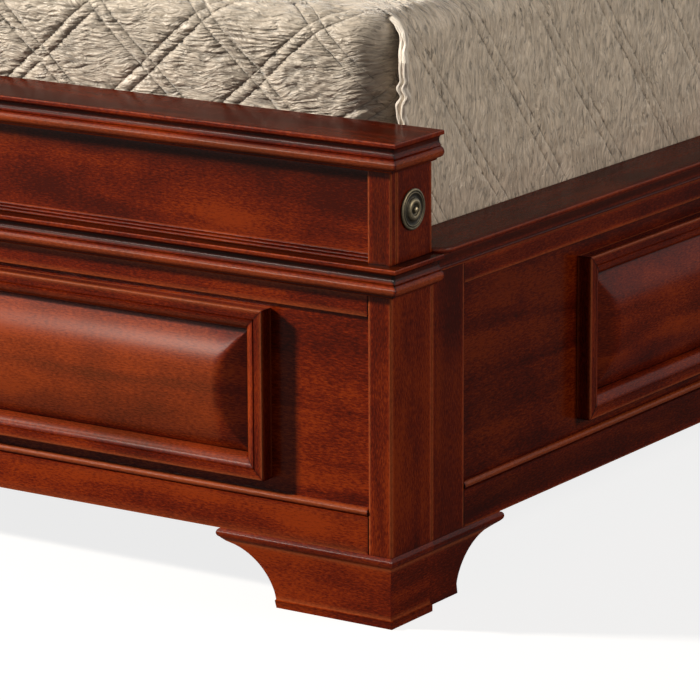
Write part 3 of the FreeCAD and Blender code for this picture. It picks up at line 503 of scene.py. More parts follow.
def crinkled_satin(settings):
    """Washed satin coverlet: a soft shine on pressed crinkles, with stitching darkened by painted shade.

    Creases 4 mm apart and 18 mm long lie between the crinkles of the mesh, and some are pinched into dark
    marks 2 mm wide, which are painted shade. Thread lines 0.9 mm apart are three times as coarse as the
    weave.
    seam_a and seam_b give each point's distance in millimetres from the stitched lines of either slant, 2 mm
    wide, which the crinkles break up, and which are darkened by painted shade. Darkening above 0 is painted
    shade, which mixes the cloth towards the shadow colour; below 0 it turns the cloth to the piping's colour.
    """
    material, node, finish = new_material("crinkled satin")
    place = node("UVMap", uv_map="grain")
    drift = node("TexNoise", {"Vector": place, "Scale": 14.0, "Detail": 1.0}, out="Color")
    place = node("VectorMath", {0: drift, 1: (0.0, 0.045, 0.0), 2: place}, operation="MULTIPLY_ADD")
    threads, creases, tint, pinch, patch = (
        node("TexNoise", {"Vector": node("Mapping", {"Vector": place, "Scale": (across, along, 1.0)}),
                          "Scale": 1.0, "Detail": detail, "Distortion": bent})
        for across, along, detail, bent in ((160.0, 1100.0, 1.0, 0.0), (55.0, 270.0, 3.0, 0.6),
                                            (40.0, 210.0, 3.0, 0.5), (50.0, 200.0, 1.0, 0.5),
                                            (60.0, 120.0, 2.0, 0.0)))
    off = node("Math", {0: node("Math", {0: pinch, 1: 0.5}, operation="SUBTRACT")}, operation="ABSOLUTE")
    shaded_crease = node("Math", {0: node("MapRange", {"Value": off, 1: 0.01, 2: 0.075, 3: 1.0, 4: 0.0}),
                         1: node("MapRange", {"Value": patch, 1: 0.50, 2: 0.60})}, operation="MULTIPLY")
    stitch = 0.0
    for name in ("seam_a", "seam_b"):
        seam = node("Attribute", out="Fac", attribute_name=name)
        square = node("Math", {0: seam, 1: seam}, operation="MULTIPLY")
        power = node("Math", {0: square, 1: -0.9}, operation="MULTIPLY")
        line = node("Math", {0: power}, operation="EXPONENT")
        stitch = node("Math", {0: line, 1: stitch}, operation="MAXIMUM")
    broken = node("MapRange", {"Value": patch, 1: 0.36, 2: 0.58, 3: 0.15, 4: 1.0})
    stitch = node("Math", {0: stitch, 1: broken}, operation="MULTIPLY")
    glaze = node("Attribute", out="Fac", attribute_name="glaze")
    base = linear(settings.cloth)[:3]
    shadow, deep, pale = ([min(1.0, c * share) for c in base] + [1.0] for share in (0.30, 0.76, 1.14))
    colour = node("ValToRGB", {"Fac": tint}, ramp=[(0.38, deep), (0.62, pale)])
    # Painted shade: pinched creases, stitched lines and the darkening attribute mix the cloth towards the
    # shadow colour; below 0 the attribute turns it to the piping's colour.
    for value, share, towards in ((shaded_crease, 0.80, shadow), (stitch, 0.42, shadow), (glaze, 1.0, shadow),
                                  (glaze, -1.0, linear(settings.piping))):
        factor = node("Math", {0: value, 1: share}, operation="MULTIPLY")
        colour = node("Mix", {0: factor, 6: colour, 7: towards}, out=2, data_type="RGBA", clamp_factor=True)
    height = creases
    for value, share in ((threads, 0.15), (shaded_crease, -0.10), (stitch, -0.30)):
        height = node("Math", {0: value, 1: share, 2: height}, operation="MULTIPLY_ADD")
    finish({"Base Color": colour,
            "Normal": node("Bump", {"Height": height, "Strength": 1.0, "Distance": 0.0039}),
            "Roughness": 0.43, "Specular IOR Level": 0.42, "Sheen Weight": 0.45, "Sheen Roughness": 0.4})
    return material


def ticking():
    """Woven cotton ticking of the mattress: off-white with narrow grey stripes 24 mm apart."""
    material, node, finish = new_material("cotton ticking")
    coords = node("TexCoord", out="Object")
    spread = node("Mapping", {"Vector": coords, "Scale": (13.0, 0.0, 0.0)})
    stripe = node("TexWave", {"Vector": spread, "Scale": 1.0}, out="Fac", wave_profile="SIN")
    stripes = [(0.9, linear("#DDD9CF")), (0.97, linear("#8D9299"))]
    weave = node("TexNoise", {"Vector": coords, "Scale": 900.0, "Detail": 2.0})
    finish({"Base Color": node("ValToRGB", {"Fac": stripe}, ramp=stripes),
            "Normal": node("Bump", {"Height": weave, "Strength": 0.3, "Distance": 0.0004}),
            "Roughness": 0.85})
    return material


finishes = {}


def finish_named(name):
    """One of the bed's finishes, made when it is first asked for."""
    wood = bpy.context.scene.bed_wood
    makers = {
        "cherry": lambda: cherry("stained cherry", wood),
        "cherry_x": lambda: cherry("stained cherry across", wood, "x"),
        # Painted shade: the side panels' cherry is 0.45 darker all over.
        "cherry_y": lambda: cherry("stained cherry along with painted shade", wood, "y", 0.45),
        "cherry_z": lambda: cherry("stained cherry upright", wood, "z"),
        "poplar_x": lambda: plain_wood("poplar across", "x", "#C9A877", "#A98350"),
        "poplar_y": lambda: plain_wood("poplar along", "y", "#C9A877", "#A98350"),
        "steel": zinc_steel,
        "brass": aged_brass,
        "satin": lambda: crinkled_satin(bpy.context.scene.bed_bedding),
        "ticking": ticking,
    }
    if name not in finishes:
        finishes[name] = makers[name]()
    return finishes[name]


# Wooden pieces


def moulding_strip(settings):
    """Section of the strip under a moulded board's nose: cove, quirk and bead, as (out, up) from the top."""
    over = settings.overhang
    return traced((-0.010, -settings.nose), ((over - 0.0032, -settings.nose),),
                  ((over - 0.0067, -0.0112), (over - 0.0036, -0.0175)),
                  ((over - 0.0048, -0.0182),),
                  ((over, -0.0248), (over - 0.0045, -0.0310)),
                  ((over - 0.0090, -0.0322),),
                  ((over - 0.0098, -0.0340), (0.0, -0.0360)),
                  ((-0.010, -0.0360),))


def moulded_board(key, node, side, settings):
    """Top board with a square nose, and three mitred moulding strips under it; side is half the width."""
    low, high = corners(node)
    over, nose = settings.overhang, settings.nose
    parts = mesh_parts()
    front, back, top = low[1] + over, high[1], high[2]
    round_off = 0.0013
    turn = np.linspace(0, math.pi / 2, 5)
    levels = np.concatenate([[(over - 0.012, 0.0)],
                             np.stack([over - round_off + round_off * np.sin(turn),
                                       -round_off + round_off * np.cos(turn)], 1),
                             np.stack([over - round_off + round_off * np.cos(turn),
                                       -nose + round_off - round_off * np.sin(turn)], 1),
                             [(over - 0.012, -nose)]])
    # Painted shade darkens the top face and the underside; the nose's arrises are lighter, as rubbed wear and
    # painted highlight.
    shade = np.array([0.66, 0.55, -0.1, -0.32, -0.15, 0, 0, -0.1, -0.15, 0, 0.4, 1.0])
    marks = np.array([0, 0.003, 0.5, 0.997, 1])
    ring = []
    for out, _ in levels:
        x, y = side + out, front - out
        ring.append(np.concatenate([np.stack([-x + 2 * x * marks[:-1], np.full(4, y)], 1),
                                    np.stack([np.full(4, x), y + (back - y) * marks[:-1]], 1),
                                    np.stack([x - 2 * x * marks[:-1], np.full(4, back)], 1),
                                    np.stack([np.full(4, -x), back + (y - back) * marks[:-1]], 1)]))
    points = at_heights(np.array(ring), top + levels[:, 1])
    uv = np.stack([points[..., 0], points[..., 1] - 0.8 * points[..., 2]], -1) + grain_shift(key)
    ringed(parts, points, uv, shade[:, None])
    for end, start, run, out, length, end_slant in (("front", -side, X, -Y, 2 * side, 1.0),
                                                    ("right", side, Y, X, back - front, 0.0),
                                                    ("left", -side, Y, -X, back - front, 0.0)):
        stick(parts, key + end, moulding_strip(settings), (start, front, top), run, out, UP, length,
              -1.0, end_slant, ends=1.0)
    core = 0.0095
    board(parts, key + "core", (-side + core, front + core, top - 0.036),
          (side - core, back - 0.0002, top - nose), "x", ends=0.0)
    return parts


def ledge_board(parts, key, inner, outer, foot, head, top, radius=0.022, thick=0.006):
    """The ledge's flat board, whose outer corner at the foot is a quarter round in plan.

    Each ring is the plan moved inwards by an inset, at one height: a corner's point is its place minus
    the inset times its outward way, so the quarter round's radius shrinks by the inset.
    """
    turn = np.linspace(0, math.pi / 2, 12)
    round_way = np.stack([np.sin(turn), -np.cos(turn)], 1)
    marks = np.linspace(0, 1, 5)[1:-1, None]
    plan = np.concatenate([[(inner, head), (inner, foot)],
                           np.array([outer - radius, foot + radius]) + radius * round_way, [(outer, head)]])
    way = np.concatenate([[(-1, 1), (-1, -1)], round_way, [(1, 1)]]).astype(float)
    plan = np.concatenate([plan[:-1], plan[-2] + (plan[-1] - plan[-2]) * marks, plan[-1:]])
    way = np.concatenate([way[:-1], np.repeat([(1.0, 0.0)], 3, axis=0), way[-1:]])
    levels = np.array([(0.012, 0), (0.0016, 0), (0.0005, 0.0005), (0, 0.0016), (0, thick - 0.0016),
                       (0.0005, thick - 0.0005), (0.0016, thick), (0.012, thick)])
    # Painted shade darkens the underside and lower arris; the top arris is lighter, as rubbed wear and
    # painted highlight.
    shade = np.array([0.0, 0.0, -0.2, -0.35, -0.1, 0.3, 0.6, 1.0])
    points = at_heights(plan[None] - levels[:, :1, None] * way[None], top - levels[:, 1])
    uv = np.stack([points[..., 1], points[..., 0] - 0.8 * points[..., 2]], -1) + grain_shift(key)
    ringed(parts, points, uv, shade[:, None])


def frame_outline():
    """Section of the drawer fronts' frame, as (in from the outer edge, out from the back).

    A flat band, two fine grooves and a quarter round that falls to the pillow's edge.
    """
    return traced((0, 0), ((0, 0.0174),), ((0.0005, 0.0185), (0.0016, 0.0190)), ((0.0113, 0.0190),),
                  ((0.0118, 0.0181),), ((0.0123, 0.0188),), ((0.0129, 0.0179),), ((0.0135, 0.0187),),
                  ((0.0235, 0.0138), (0.0270, 0.0035)), ((0.0270, 0),))


def moulded_frame(parts, key, centre, width, height, across, out):
    """Four mitred sides round a drawer front; across is the way along its width and out its face's way."""
    outline = frame_outline()
    ways = ((across, UP, width, height), (UP, -across, height, width),
            (-across, -UP, width, height), (-UP, across, height, width))
    for number, (run, inward, length, reach) in enumerate(ways):
        origin = centre - run * length / 2 - inward * reach / 2
        stick(parts, key + str(number), outline, origin, run, inward, out, length, 1.0, -1.0, ends=0.9)


def lidded(parts, top, down, uv, glaze):
    """Closes a grid of points into a solid: its rim drops along down, and one flat face closes it below."""
    rows, cols = top.shape[:2]
    index = np.arange(rows * cols).reshape(rows, cols)
    rim = np.concatenate([index[0, :-1], index[:-1, -1], index[-1, :0:-1], index[:0:-1, 0]])
    flat = top.reshape(-1, 3)
    below = flat[rim] + down[rim]
    low = np.arange(len(rim)) + rows * cols
    after = np.roll(np.arange(len(rim)), -1)
    walls = np.stack([rim, rim[after], low[after], low], 1)
    faces = list(grid_faces(rows, cols, False)[:, ::-1]) + list(walls) + [low[::-1]]
    rim_uv = uv.reshape(-1, 2)[rim]
    under_uv = rim_uv + 0.003
    wall_uv = np.stack([rim_uv, rim_uv[after], under_uv[after], under_uv], 1).reshape(-1, 2)
    top_uv = grid_uv(uv).reshape(-1, 4, 2)[:, ::-1].reshape(-1, 2)
    # Painted shade: the walls darken to 1 at their foot, down in the gap round the pillow.
    shade = np.concatenate([glaze.ravel(), np.full(len(rim), 1.0)])
    corner_uv = np.concatenate([top_uv, wall_uv, under_uv[::-1]])
    closed_part(parts, np.concatenate([flat, below]), faces, corner_uv, shade)


def pillow(parts, key, centre, width, height, across, out, settings):
    """Raised pillow: a barrel over the whole height, its ends cut back by slopes.

    With H the half height, the barrel stands edge + rise * (1 - (z / H) ** 2) off the back, and a slope
    edge + rise * (1 - (1 - d / slope) ** 1.15) at a distance d from the end. The lower of the two counts,
    blended by -k * log(exp(-a / k) + exp(-b / k)), so that the mitre is sharp at the corners and soft at
    half height. Columns of the grid follow the bowed mitre, and are even between the mitres.
    """
    half_w, half_h = width / 2 - settings.frame_width, height / 2 - settings.frame_width
    rise = settings.crown - settings.edge
    power = 1.15
    z = half_h * np.sin(np.linspace(-1, 1, 47) * math.pi / 2 * 0.999)
    barrel = 1 - (z / half_h) ** 2
    bow = settings.slope * (1 - (1 - barrel) ** (1 / power))
    ramp = np.linspace(0, 1, 9)
    left = -half_w + bow[:, None] * ramp
    spread = np.concatenate([[0.008, 0.018, 0.032, 0.055], np.linspace(0.1, 0.9, 9),
                             [0.945, 0.968, 0.982, 0.992]])
    field = (-half_w + bow)[:, None] + (2 * (half_w - bow))[:, None] * spread
    x = np.hstack([left, field, -left[:, ::-1]])
    end = np.clip((half_w - np.abs(x)) / settings.slope, 0, 1)
    ramped = 1 - (1 - end) ** power
    soft = 0.004 + 0.075 * barrel[:, None] ** 2
    lowest = np.minimum(barrel[:, None], ramped)
    blend = np.exp(-(barrel[:, None] - lowest) / soft) + np.exp(-(ramped - lowest) / soft)
    level = settings.edge + rise * np.clip(lowest - soft * np.log(blend) * np.clip(lowest * 8, 0, 1), 0, 1)
    z = np.broadcast_to(z[:, None], x.shape)
    top = centre + x[..., None] * across + z[..., None] * UP + level[..., None] * out
    uv = np.stack([x, z], -1) + grain_shift(key)
    near = np.minimum(half_w - np.abs(x), half_h - np.abs(z))
    # Glazing and painted shade darken the pillow within 10 mm of the frame, most in its last 2 mm.
    glaze = 0.95 * np.exp(-near / 0.0016) + 0.22 * np.exp(-near / 0.010)
    # Painted shade: the end slopes are up to 0.40 darker.
    glaze += 0.40 * np.clip(2.5 * (1 - end), 0, 1)
    # Painted highlight: the mitre lines are lighter towards the pillow's top and bottom.
    glaze[:, [8, -9]] -= 0.3 * (1 - barrel[:, None]) ** 0.5
    lidded(parts, top, -level.reshape(-1, 1) * out, uv, glaze)


def bead_rail(width, height, bead=0.009, proud=0.0015, gap=0.0008):
    """Section of a bottom rail with a bead on its top edge, as (out, up) from the face at the floor side."""
    low = height - bead
    return traced((-width, 0), ((-gap, 0),), ((-gap, low - 0.0012),), ((-gap - 0.0016, low - 0.0002),),
                  ((proud, low + bead / 2), (-gap - 0.0012, height)), ((-width, height),))


def foot_board(parts, key, face, way_out, way_back, tip, height, lift, curve, thick, mitred):
    """A bracket foot's board: its face's section slid between a curved outline and the corner.

    Rows go up the section: base strip, hollow face and top bead. At each row the board runs from the
    outline's reach at that height, times tip, to the corner, or to the mitre plane. face is a point on
    the post's face at the corner, way_out points off the face, and way_back along it away from the corner.
    """
    bead, strip = 0.012, 0.009 if lift == 0 else 0.0
    rows = traced((0.0008 if strip else -0.0025, lift), ((0.0008 if strip else -0.0025, lift + strip * 0.9),),
                  ((-0.0025, lift + strip + 0.0003),),
                  ((-0.0031, (lift + height - bead) / 2), (-0.0012, height - bead - 0.0025)),
                  ((0.0, height - bead),), ((0.0030, height - bead / 2), (0.0, height)), fine=12)
    rows = filled_in(rows, closed=False)
    out, z = rows[:, 0], rows[:, 1]
    shade = hollows(rows, closed=False, reach=0.002) * -1.0
    order = np.argsort(curve[:, 1])
    reach = np.interp(z, curve[order, 1], curve[order, 0])
    share = np.concatenate([[0, 0.006], np.linspace(0.05, 0.95, 9), [0.994, 1.0]])
    near = -out if mitred else np.zeros_like(out)
    far = reach * tip
    along = far[:, None] * (1 - share) + near[:, None] * share
    face = np.asarray(face, float)
    front = (face + along[..., None] * way_back + out[:, None, None] * way_out
             + z[:, None, None] * UP)
    near_back = np.full_like(out, thick) if mitred else np.zeros_like(out)
    back_along = np.maximum(far, near_back)[:, None] * (1 - share) + near_back[:, None] * share
    back = (face + back_along[..., None] * way_back - thick * way_out + z[:, None, None] * UP)
    points = np.concatenate([front.reshape(-1, 3), back.reshape(-1, 3)])
    count, cols = along.shape
    index = np.arange(count * cols).reshape(count, cols)
    quads = grid_faces(count, cols, False)
    faces = list(quads) + list(quads[:, ::-1] + count * cols)
    face_uv = grid_uv(np.stack([along, np.broadcast_to(z[:, None], along.shape)], -1) + grain_shift(key))
    corner_uv = [face_uv, face_uv.reshape(-1, 4, 2)[:, ::-1].reshape(-1, 2)]
    for line, sign in ((index[0], 1), (index[-1], -1), (index[:, 0], -1), (index[:, -1], 1)):
        a, b = line[:-1], line[1:]
        quads = np.stack([a, b, b + count * cols, a + count * cols], 1)[:, ::-sign]
        faces.extend(quads)
        rim_uv = np.stack([points[quads] @ way_back, points[quads] @ (UP + 0.5 * way_out)], -1)
        corner_uv.append(rim_uv.reshape(-1, 2) + grain_shift(key))
    rim = np.zeros(cols)
    rim[[0, -1]] = 0.35 if mitred else 0.2
    glaze = np.clip(shade[:, None] + rim, -1, 1).ravel()
    closed_part(parts, points, faces, np.concatenate(corner_uv), np.tile(glaze, 2))


def foot_curve(length, height, lift, shoulder, hollow, ankle, toe):
    """Reach of a bracket foot from its corner at each height, as (share of length, height)."""
    def at(share, up):
        return (share * length, lift + (height - lift) * up)

    line = traced((length - 0.005, height), ((length, height - 0.005), (length - 0.005, height - 0.010)),
                  (at(*shoulder),), (at(*hollow), at(*ankle)), (at(*toe),), fine=16)
    return np.stack([line[:, 0] / length, line[:, 1]], 1)


def turned(parts, profile, centre, out, across, glaze, around=96):
    """A lathe turning: radius and height along the profile, carried round the out axis."""
    angle = np.linspace(0, math.tau, around, endpoint=False)
    side = np.cross(out, across)
    radius, height = profile[:, 0], profile[:, 1]
    ring = np.cos(angle)[:, None] * across + np.sin(angle)[:, None] * side
    points = centre + radius[:, None, None] * ring + height[:, None, None] * out
    points = points[1:-1]
    rows = len(points)
    uv = np.stack(np.broadcast_arrays(np.linspace(0, 1, around + 1)[None, :], height[1:-1, None]), -1)
    tip, back = centre + height[-1] * out, centre + height[0] * out
    faces = list(grid_faces(rows, around, True))
    index = np.arange(around)
    faces += [np.array([i, (i + 1) % around, rows * around]) for i in index]
    faces += [np.array([(rows - 1) * around + (i + 1) % around, (rows - 1) * around + i, rows * around + 1])
              for i in index]
    caps = np.zeros((6 * around, 2))
    points = np.concatenate([points.reshape(-1, 3), [back, tip]])
    shade = np.concatenate([np.repeat(glaze[1:-1], around), glaze[[0, -1]]])
    closed_part(parts, points, faces, np.concatenate([grid_uv(uv), caps]), shade)


# Operators


class PieceOperator:
    """What the bed's operators share."""
    bl_options = {"REGISTER", "UNDO"}

    def frame_piece(self, name, node, parts, mirrored=True, tone=0.0):
        """Builds a cherry piece of the fixed frame in a node's place, on both sides if mirrored."""
        whole = both_sides(parts) if mirrored else parts
        build(name, whole, finish_named("cherry"), "bed_frame", [node], tone=tone)


class BED_OT_moulded_boards(PieceOperator, bpy.types.Operator):
    """Caps and waist boards, mitred round three sides"""
    bl_idname = "bed.moulded_boards"
    bl_label = "Moulded boards"

    def execute(self, context):
        settings = context.scene.bed_moulding
        for node in ("foot_cap", "waist_moulding", "head_cap", "head_moulding"):
            _, high = corners(node)
            parts = moulded_board(node, node, high[0] - settings.overhang, settings)
            # Painted shade: the waist board is 0.16 darker all over.
            self.frame_piece(node + "_looks", node, parts, mirrored=False,
                             tone=0.16 if node == "waist_moulding" else 0.0)
        return {"FINISHED"}


class BED_OT_frame_boards(PieceOperator, bpy.types.Operator):
    """Posts, stiles, rails, friezes and ledges"""
    bl_idname = "bed.frame_boards"
    bl_label = "Frame boards"

    def execute(self, context):
        post_low, post_high = corners("foot_posts")
        side, face, back = post_high[0], post_low[1], post_high[1]

        parts = mesh_parts()
        board(parts, "post", (side - STILE, face, post_low[2]), (side, back, post_high[2]), "z", 0.0018)
        self.frame_piece("corner_posts", "foot_posts", parts, tone=0.20)

        parts = mesh_parts()
        low, high = corners("frieze_stiles")
        board(parts, "stile", (high[0] - STILE, low[1], low[2]), high, "z", 0.0012)
        self.frame_piece("upper_stiles", "frieze_stiles", parts, tone=0.44)

        parts = mesh_parts()
        frieze_low, frieze_high = corners("frieze_panel")
        board(parts, "friezeboard", frieze_low, frieze_high, "x", 0.0004, ends=1.0)
        # Painted shadow under the cap: the frieze board darkens towards its top, over about 17 mm.
        for points, glaze in zip(parts["points"], parts["glaze"]):
            glaze += 0.75 * np.exp(-((frieze_high[2] - points[:, 2]) / 0.017) ** 2)
        self.frame_piece("frieze_board", "frieze_panel", parts, mirrored=False, tone=0.10)

        parts = mesh_parts()
        strip = traced((0, 0), ((0.0030, 0),), ((0.0042, 0.0018), (0.0030, 0.0034)), ((0.0022, 0.0038),),
                       ((0.0034, 0.0055), (0.0022, 0.0072)), ((0.0014, 0.0076),),
                       ((0.0022, 0.0095), (0, 0.0110)))
        stick(parts, "beads", strip, frieze_low, X, -Y, UP, frieze_high[0] - frieze_low[0], ends=1.0)
        head_low, head_high = corners("head_moulding")
        reach = side - HEAD_POST
        set_back = 0.022
        stick(parts, "headbeads", strip, (-reach, head_low[1] + set_back, head_high[2]), X, -Y, UP,
              2 * reach, ends=1.0)
        self.frame_piece("frieze_strips", "frieze_beads", parts, mirrored=False)

        parts = mesh_parts()
        board(parts, "toprail", *corners("foot_top_rail"), "x", ends=0.9)
        self.frame_piece("front_top_rail", "foot_top_rail", parts, mirrored=False)

        low, high = corners("foot_bottom_rail")
        parts = mesh_parts()
        stick(parts, "bottomrail", bead_rail(high[1] - face, high[2] - low[2]), (low[0], face, low[2]),
              X, -Y, UP, high[0] - low[0], ends=1.0)
        self.frame_piece("front_bottom_rail", "foot_bottom_rail", parts, mirrored=False)

        parts = mesh_parts()
        low, high = corners("rail_stiles")
        for key, y0, y1 in (("a", low[1], low[1] + RAIL_STILE), ("b", high[1] - RAIL_STILE, high[1])):
            board(parts, "railstile" + key, (side - BOARD, y0, low[2]), (side, y1, high[2]), "z", 0.0010)
        # Painted shade: the side stiles are 0.38 darker.
        self.frame_piece("side_stiles", "rail_stiles", parts, tone=0.38)

        parts = mesh_parts()
        low, high = corners("rail_top_rails")
        board(parts, "siderail", (side - BOARD, low[1], low[2]), high, "y", ends=0.9)
        # Painted shade: the side top rails are 0.34 darker.
        self.frame_piece("side_top_rails", "rail_top_rails", parts, tone=0.34)

        parts = mesh_parts()
        low, high = corners("rail_bottom_rails")
        stick(parts, "sidebottom", bead_rail(BOARD, high[2] - low[2]), (side, low[1], low[2]), Y, X, UP,
              high[1] - low[1], ends=1.0)
        # Painted shade: the side bottom rails are 0.55 darker.
        self.frame_piece("side_bottom_rails", "rail_bottom_rails", parts, tone=0.55)

        parts = mesh_parts()
        low, high = corners("rail_ledges")
        over, tall = high[0] - side, high[2] - low[2]
        ledge_board(parts, "ledge", side - RAIL_STILE, high[0], low[1], high[1], high[2])
        section = traced((-RAIL_STILE, tall - 0.006), ((over - 0.0045, tall - 0.006),),
                         ((over - 0.0080, tall - 0.0135), (over - 0.0080, tall - 0.0210)),
                         ((over - 0.0105, tall - 0.0220),),
                         ((over - 0.0095, tall - 0.0245), (over - 0.0105, tall - 0.027)),
                         ((0.001, 0.0),), ((-RAIL_STILE, 0.0),))
        stick(parts, "ledge", section, (side, low[1], low[2]), Y, X, UP, high[1] - low[1], ends=0.5)
        # Painted shade: the ledges are 0.48 darker.
        self.frame_piece("ledges", "rail_ledges", parts, tone=0.48)

        parts = mesh_parts()
        low, high = corners("head_posts")
        head_cap, _ = corners("head_cap")
        head_mould_low, head_mould_high = corners("head_moulding")
        for key, z0, z1 in (("low", 0.0, head_mould_low[2]), ("top", head_mould_high[2], head_cap[2])):
            board(parts, "headpost" + key, (side - HEAD_POST, low[1], z0), (side, high[1], z1), "z", 0.0018)
        self.frame_piece("head_post_boards", "head_posts", parts)

        parts = mesh_parts()
        low, high = corners("head_rails")
        middle_rail = 0.550
        for key, z in (("a", high[2] - HEAD_RAIL), ("b", middle_rail), ("c", low[2])):
            board(parts, "headrail" + key, (low[0], low[1], z), (high[0], high[1], z + HEAD_RAIL), "x",
                  ends=0.9)
        self.frame_piece("head_cross_rails", "head_rails", parts, mirrored=False)
        return {"FINISHED"}


class BED_OT_drawer_fronts(PieceOperator, bpy.types.Operator):
    """Moulded frames and raised pillow panels of the drawers and the headboard"""
    bl_idname = "bed.drawer_fronts"
    bl_label = "Pillow fronts"

    def tone(self, node):
        """Darkening added to a drawer's front: the side drawers get painted shade, a little darker than those
        at the foot.
        """
        return 0.18 if node.startswith("side") else -0.03

    def execute(self, context):
        settings = context.scene.bed_moulding
        wood = finish_named("cherry")
        for node in sorted(frame["nodes"]):
            if not node.endswith("_frame") or "drawer" not in node:
                continue
            low, high = corners(node)
            body = body_of_node(node)
            middle = (low + high) / 2
            if node.startswith("foot"):
                across, out, width = X, -Y, high[0] - low[0]
                centre = np.array([middle[0], high[1], middle[2]])
            elif "right" in node:
                across, out, width = Y, X, high[1] - low[1]
                centre = np.array([low[0], middle[1], middle[2]])
            else:
                across, out, width = -Y, -X, high[1] - low[1]
                centre = np.array([high[0], middle[1], middle[2]])
            parts = mesh_parts()
            moulded_frame(parts, node, centre, width, high[2] - low[2], across, out)
            build(node + "_moulding", parts, wood, body, [node], tone=self.tone(node))
            parts = mesh_parts()
            pillow(parts, node + "p", centre, width, high[2] - low[2], across, out, settings)
            build(body + "_pillow", parts, wood, body, [body + "_panel"], crease=24.0,
                  tone=self.tone(node) - 0.20)
        parts, pillows = mesh_parts(), mesh_parts()
        low, high = corners("head_raised_panels")
        gap, height = 0.046, high[2] - low[2]
        width = (high[0] - low[0] - 2 * gap) / 3
        for number in range(3):
            x = low[0] + width / 2 + number * (width + gap)
            centre = np.array([x, high[1], (low[2] + high[2]) / 2])
            moulded_frame(parts, "head" + str(number), centre, width, height, X, -Y)
            pillow(pillows, "headp" + str(number), centre, width, height, X, -Y, settings)
        self.frame_piece("head_panel_mouldings", "head_raised_panels", parts, mirrored=False)
        build("head_panel_pillows", pillows, wood, "bed_frame", crease=24.0, tone=-0.20)
        return {"FINISHED"}


class BED_OT_bracket_feet(PieceOperator, bpy.types.Operator):
    """Bracket feet under the corners, with their wings on the side rails"""
    bl_idname = "bed.bracket_feet"
    bl_label = "Bracket feet"

    def execute(self, context):
        low, high = corners("foot_posts")
        side, face, back, height = high[0], low[1], high[1], low[2]
        _, rail_high = corners("rail_stiles")
        parts = mesh_parts()
        foot, wing, thick, lift = 0.240, 0.238, 0.022, 0.006
        front = foot_curve(foot, height, 0.0, (0.965, 0.83), (0.76, 0.56), (0.675, 0.20), (0.655, 0.0))
        straight = np.array([(1.0, 0.0), (1.0, height)])
        wings = foot_curve(wing, height, lift, (0.965, 0.82), (0.70, 0.60), (0.60, 0.16), (0.605, 0.0))
        wings[:, 0] = wings[:, 0] * wing - (back - face)
        foot_board(parts, "front", (side, face, 0), -Y, -X, foot, height, 0.0, front, thick, True)
        foot_board(parts, "return", (side, face, 0), X, Y, back - face, height, 0.0, straight, thick, True)
        foot_board(parts, "wing", (side, back, 0), X, Y, 1.0, height, lift, wings, thick, False)
        foot_board(parts, "headwing", (side, rail_high[1], 0), X, -Y, 1.0, height, lift, wings, thick, False)
        self.frame_piece("bracket_foot_boards", "bracket_feet", parts)
        return {"FINISHED"}


class BED_OT_end_drawers(PieceOperator, bpy.types.Operator):
    """End panels of the upper band and their turned rosettes"""
    bl_idname = "bed.end_drawers"
    bl_label = "End drawers and rosettes"

    def execute(self, context):
        rosette = traced((0, -0.0005), ((0.0230, -0.0005),), ((0.0235, 0.0008),),
                         ((0.0233, 0.0024), (0.0220, 0.0031)), ((0.0208, 0.0030), (0.0200, 0.0020)),
                         ((0.0190, 0.0033), (0.0178, 0.0022)),
                         ((0.0158, 0.0014), (0.0134, 0.0020)), ((0.0105, 0.0052), (0.0072, 0.0048)),
                         ((0.0055, 0.0026), (0.0036, 0.0032)), ((0.0034, 0.0052),),
                         ((0.0024, 0.0070), (0, 0.0075)), fine=8)
        shade_by_radius = {0.0: 0.0, 0.003: 0.1, 0.0038: 0.8, 0.0052: 0.75, 0.0075: 0.25, 0.0105: 0.1,
                           0.013: 0.6, 0.016: 0.9, 0.0178: 0.7, 0.019: 0.2, 0.0202: 0.85, 0.0215: 0.15,
                           0.0235: 0.3}
        shade = np.interp(rosette[:, 0], list(shade_by_radius), list(shade_by_radius.values()))
        for label, sign in (("right", 1), ("left", -1)):
            body = "end_drawer_" + label
            parts = mesh_parts()
            board(parts, body, *corners(body + "_front"), "z", 0.0015)
            # Painted shade: the end boards at the sides are 0.24 darker.
            build(body + "_board", parts, finish_named("cherry"), body, [body + "_front"], tone=0.24)
            low, high = corners(body + "_knob")
            centre = (low + high) / 2
            centre[0] = sign * (corners("foot_posts")[1][0] + 0.0001)
            parts = mesh_parts()
            turned(parts, rosette, centre, sign * X, Y, shade)
            stud = np.array([(0, -0.0138), (0.0025, -0.0138), (0.0025, -0.0006), (0, -0.0006)])
            turned(parts, stud, centre, sign * X, Y, np.full(4, 0.3), 24)
            build(body + "_rosette", parts, finish_named("brass"), body, [body + "_knob"])
        return {"FINISHED"}


class BED_OT_inner_parts(PieceOperator, bpy.types.Operator):
    """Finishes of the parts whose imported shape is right"""
    bl_idname = "bed.inner_parts"
    bl_label = "Inner parts"

    def execute(self, context):
        finishes_by_node = {"foot_drawer_panel": "cherry_x", "rail_panels": "cherry_y",
                            "head_panels": "cherry_x", "footboard_back": "cherry_x",
                            "slats": "poplar_x", "slat_cleats": "poplar_y", "bay_dividers": "poplar_x",
                            "centre_support": "poplar_y", "hook_plates": "steel",
                            "slide_channels": "steel"}
        for node, piece in frame["nodes"].items():
            if node.endswith("_runners"):
                finish = "steel"
            elif node.endswith("_box"):
                finish = "poplar_y" if node.startswith("side") else "poplar_x"
            else:
                finish = finishes_by_node.get(node, "cherry_z")
            piece.data.materials.clear()
            piece.data.materials.append(finish_named(finish))
        return {"FINISHED"}


# Bedding


def lattice(seed, x, y):
    """A fixed pseudo-random number from 0 to 1 at each whole-number place (x, y)."""
    mixed = np.sin(x * 127.1 + y * 311.7 + seed * 74.7) * 43758.5453
    return mixed - np.floor(mixed)


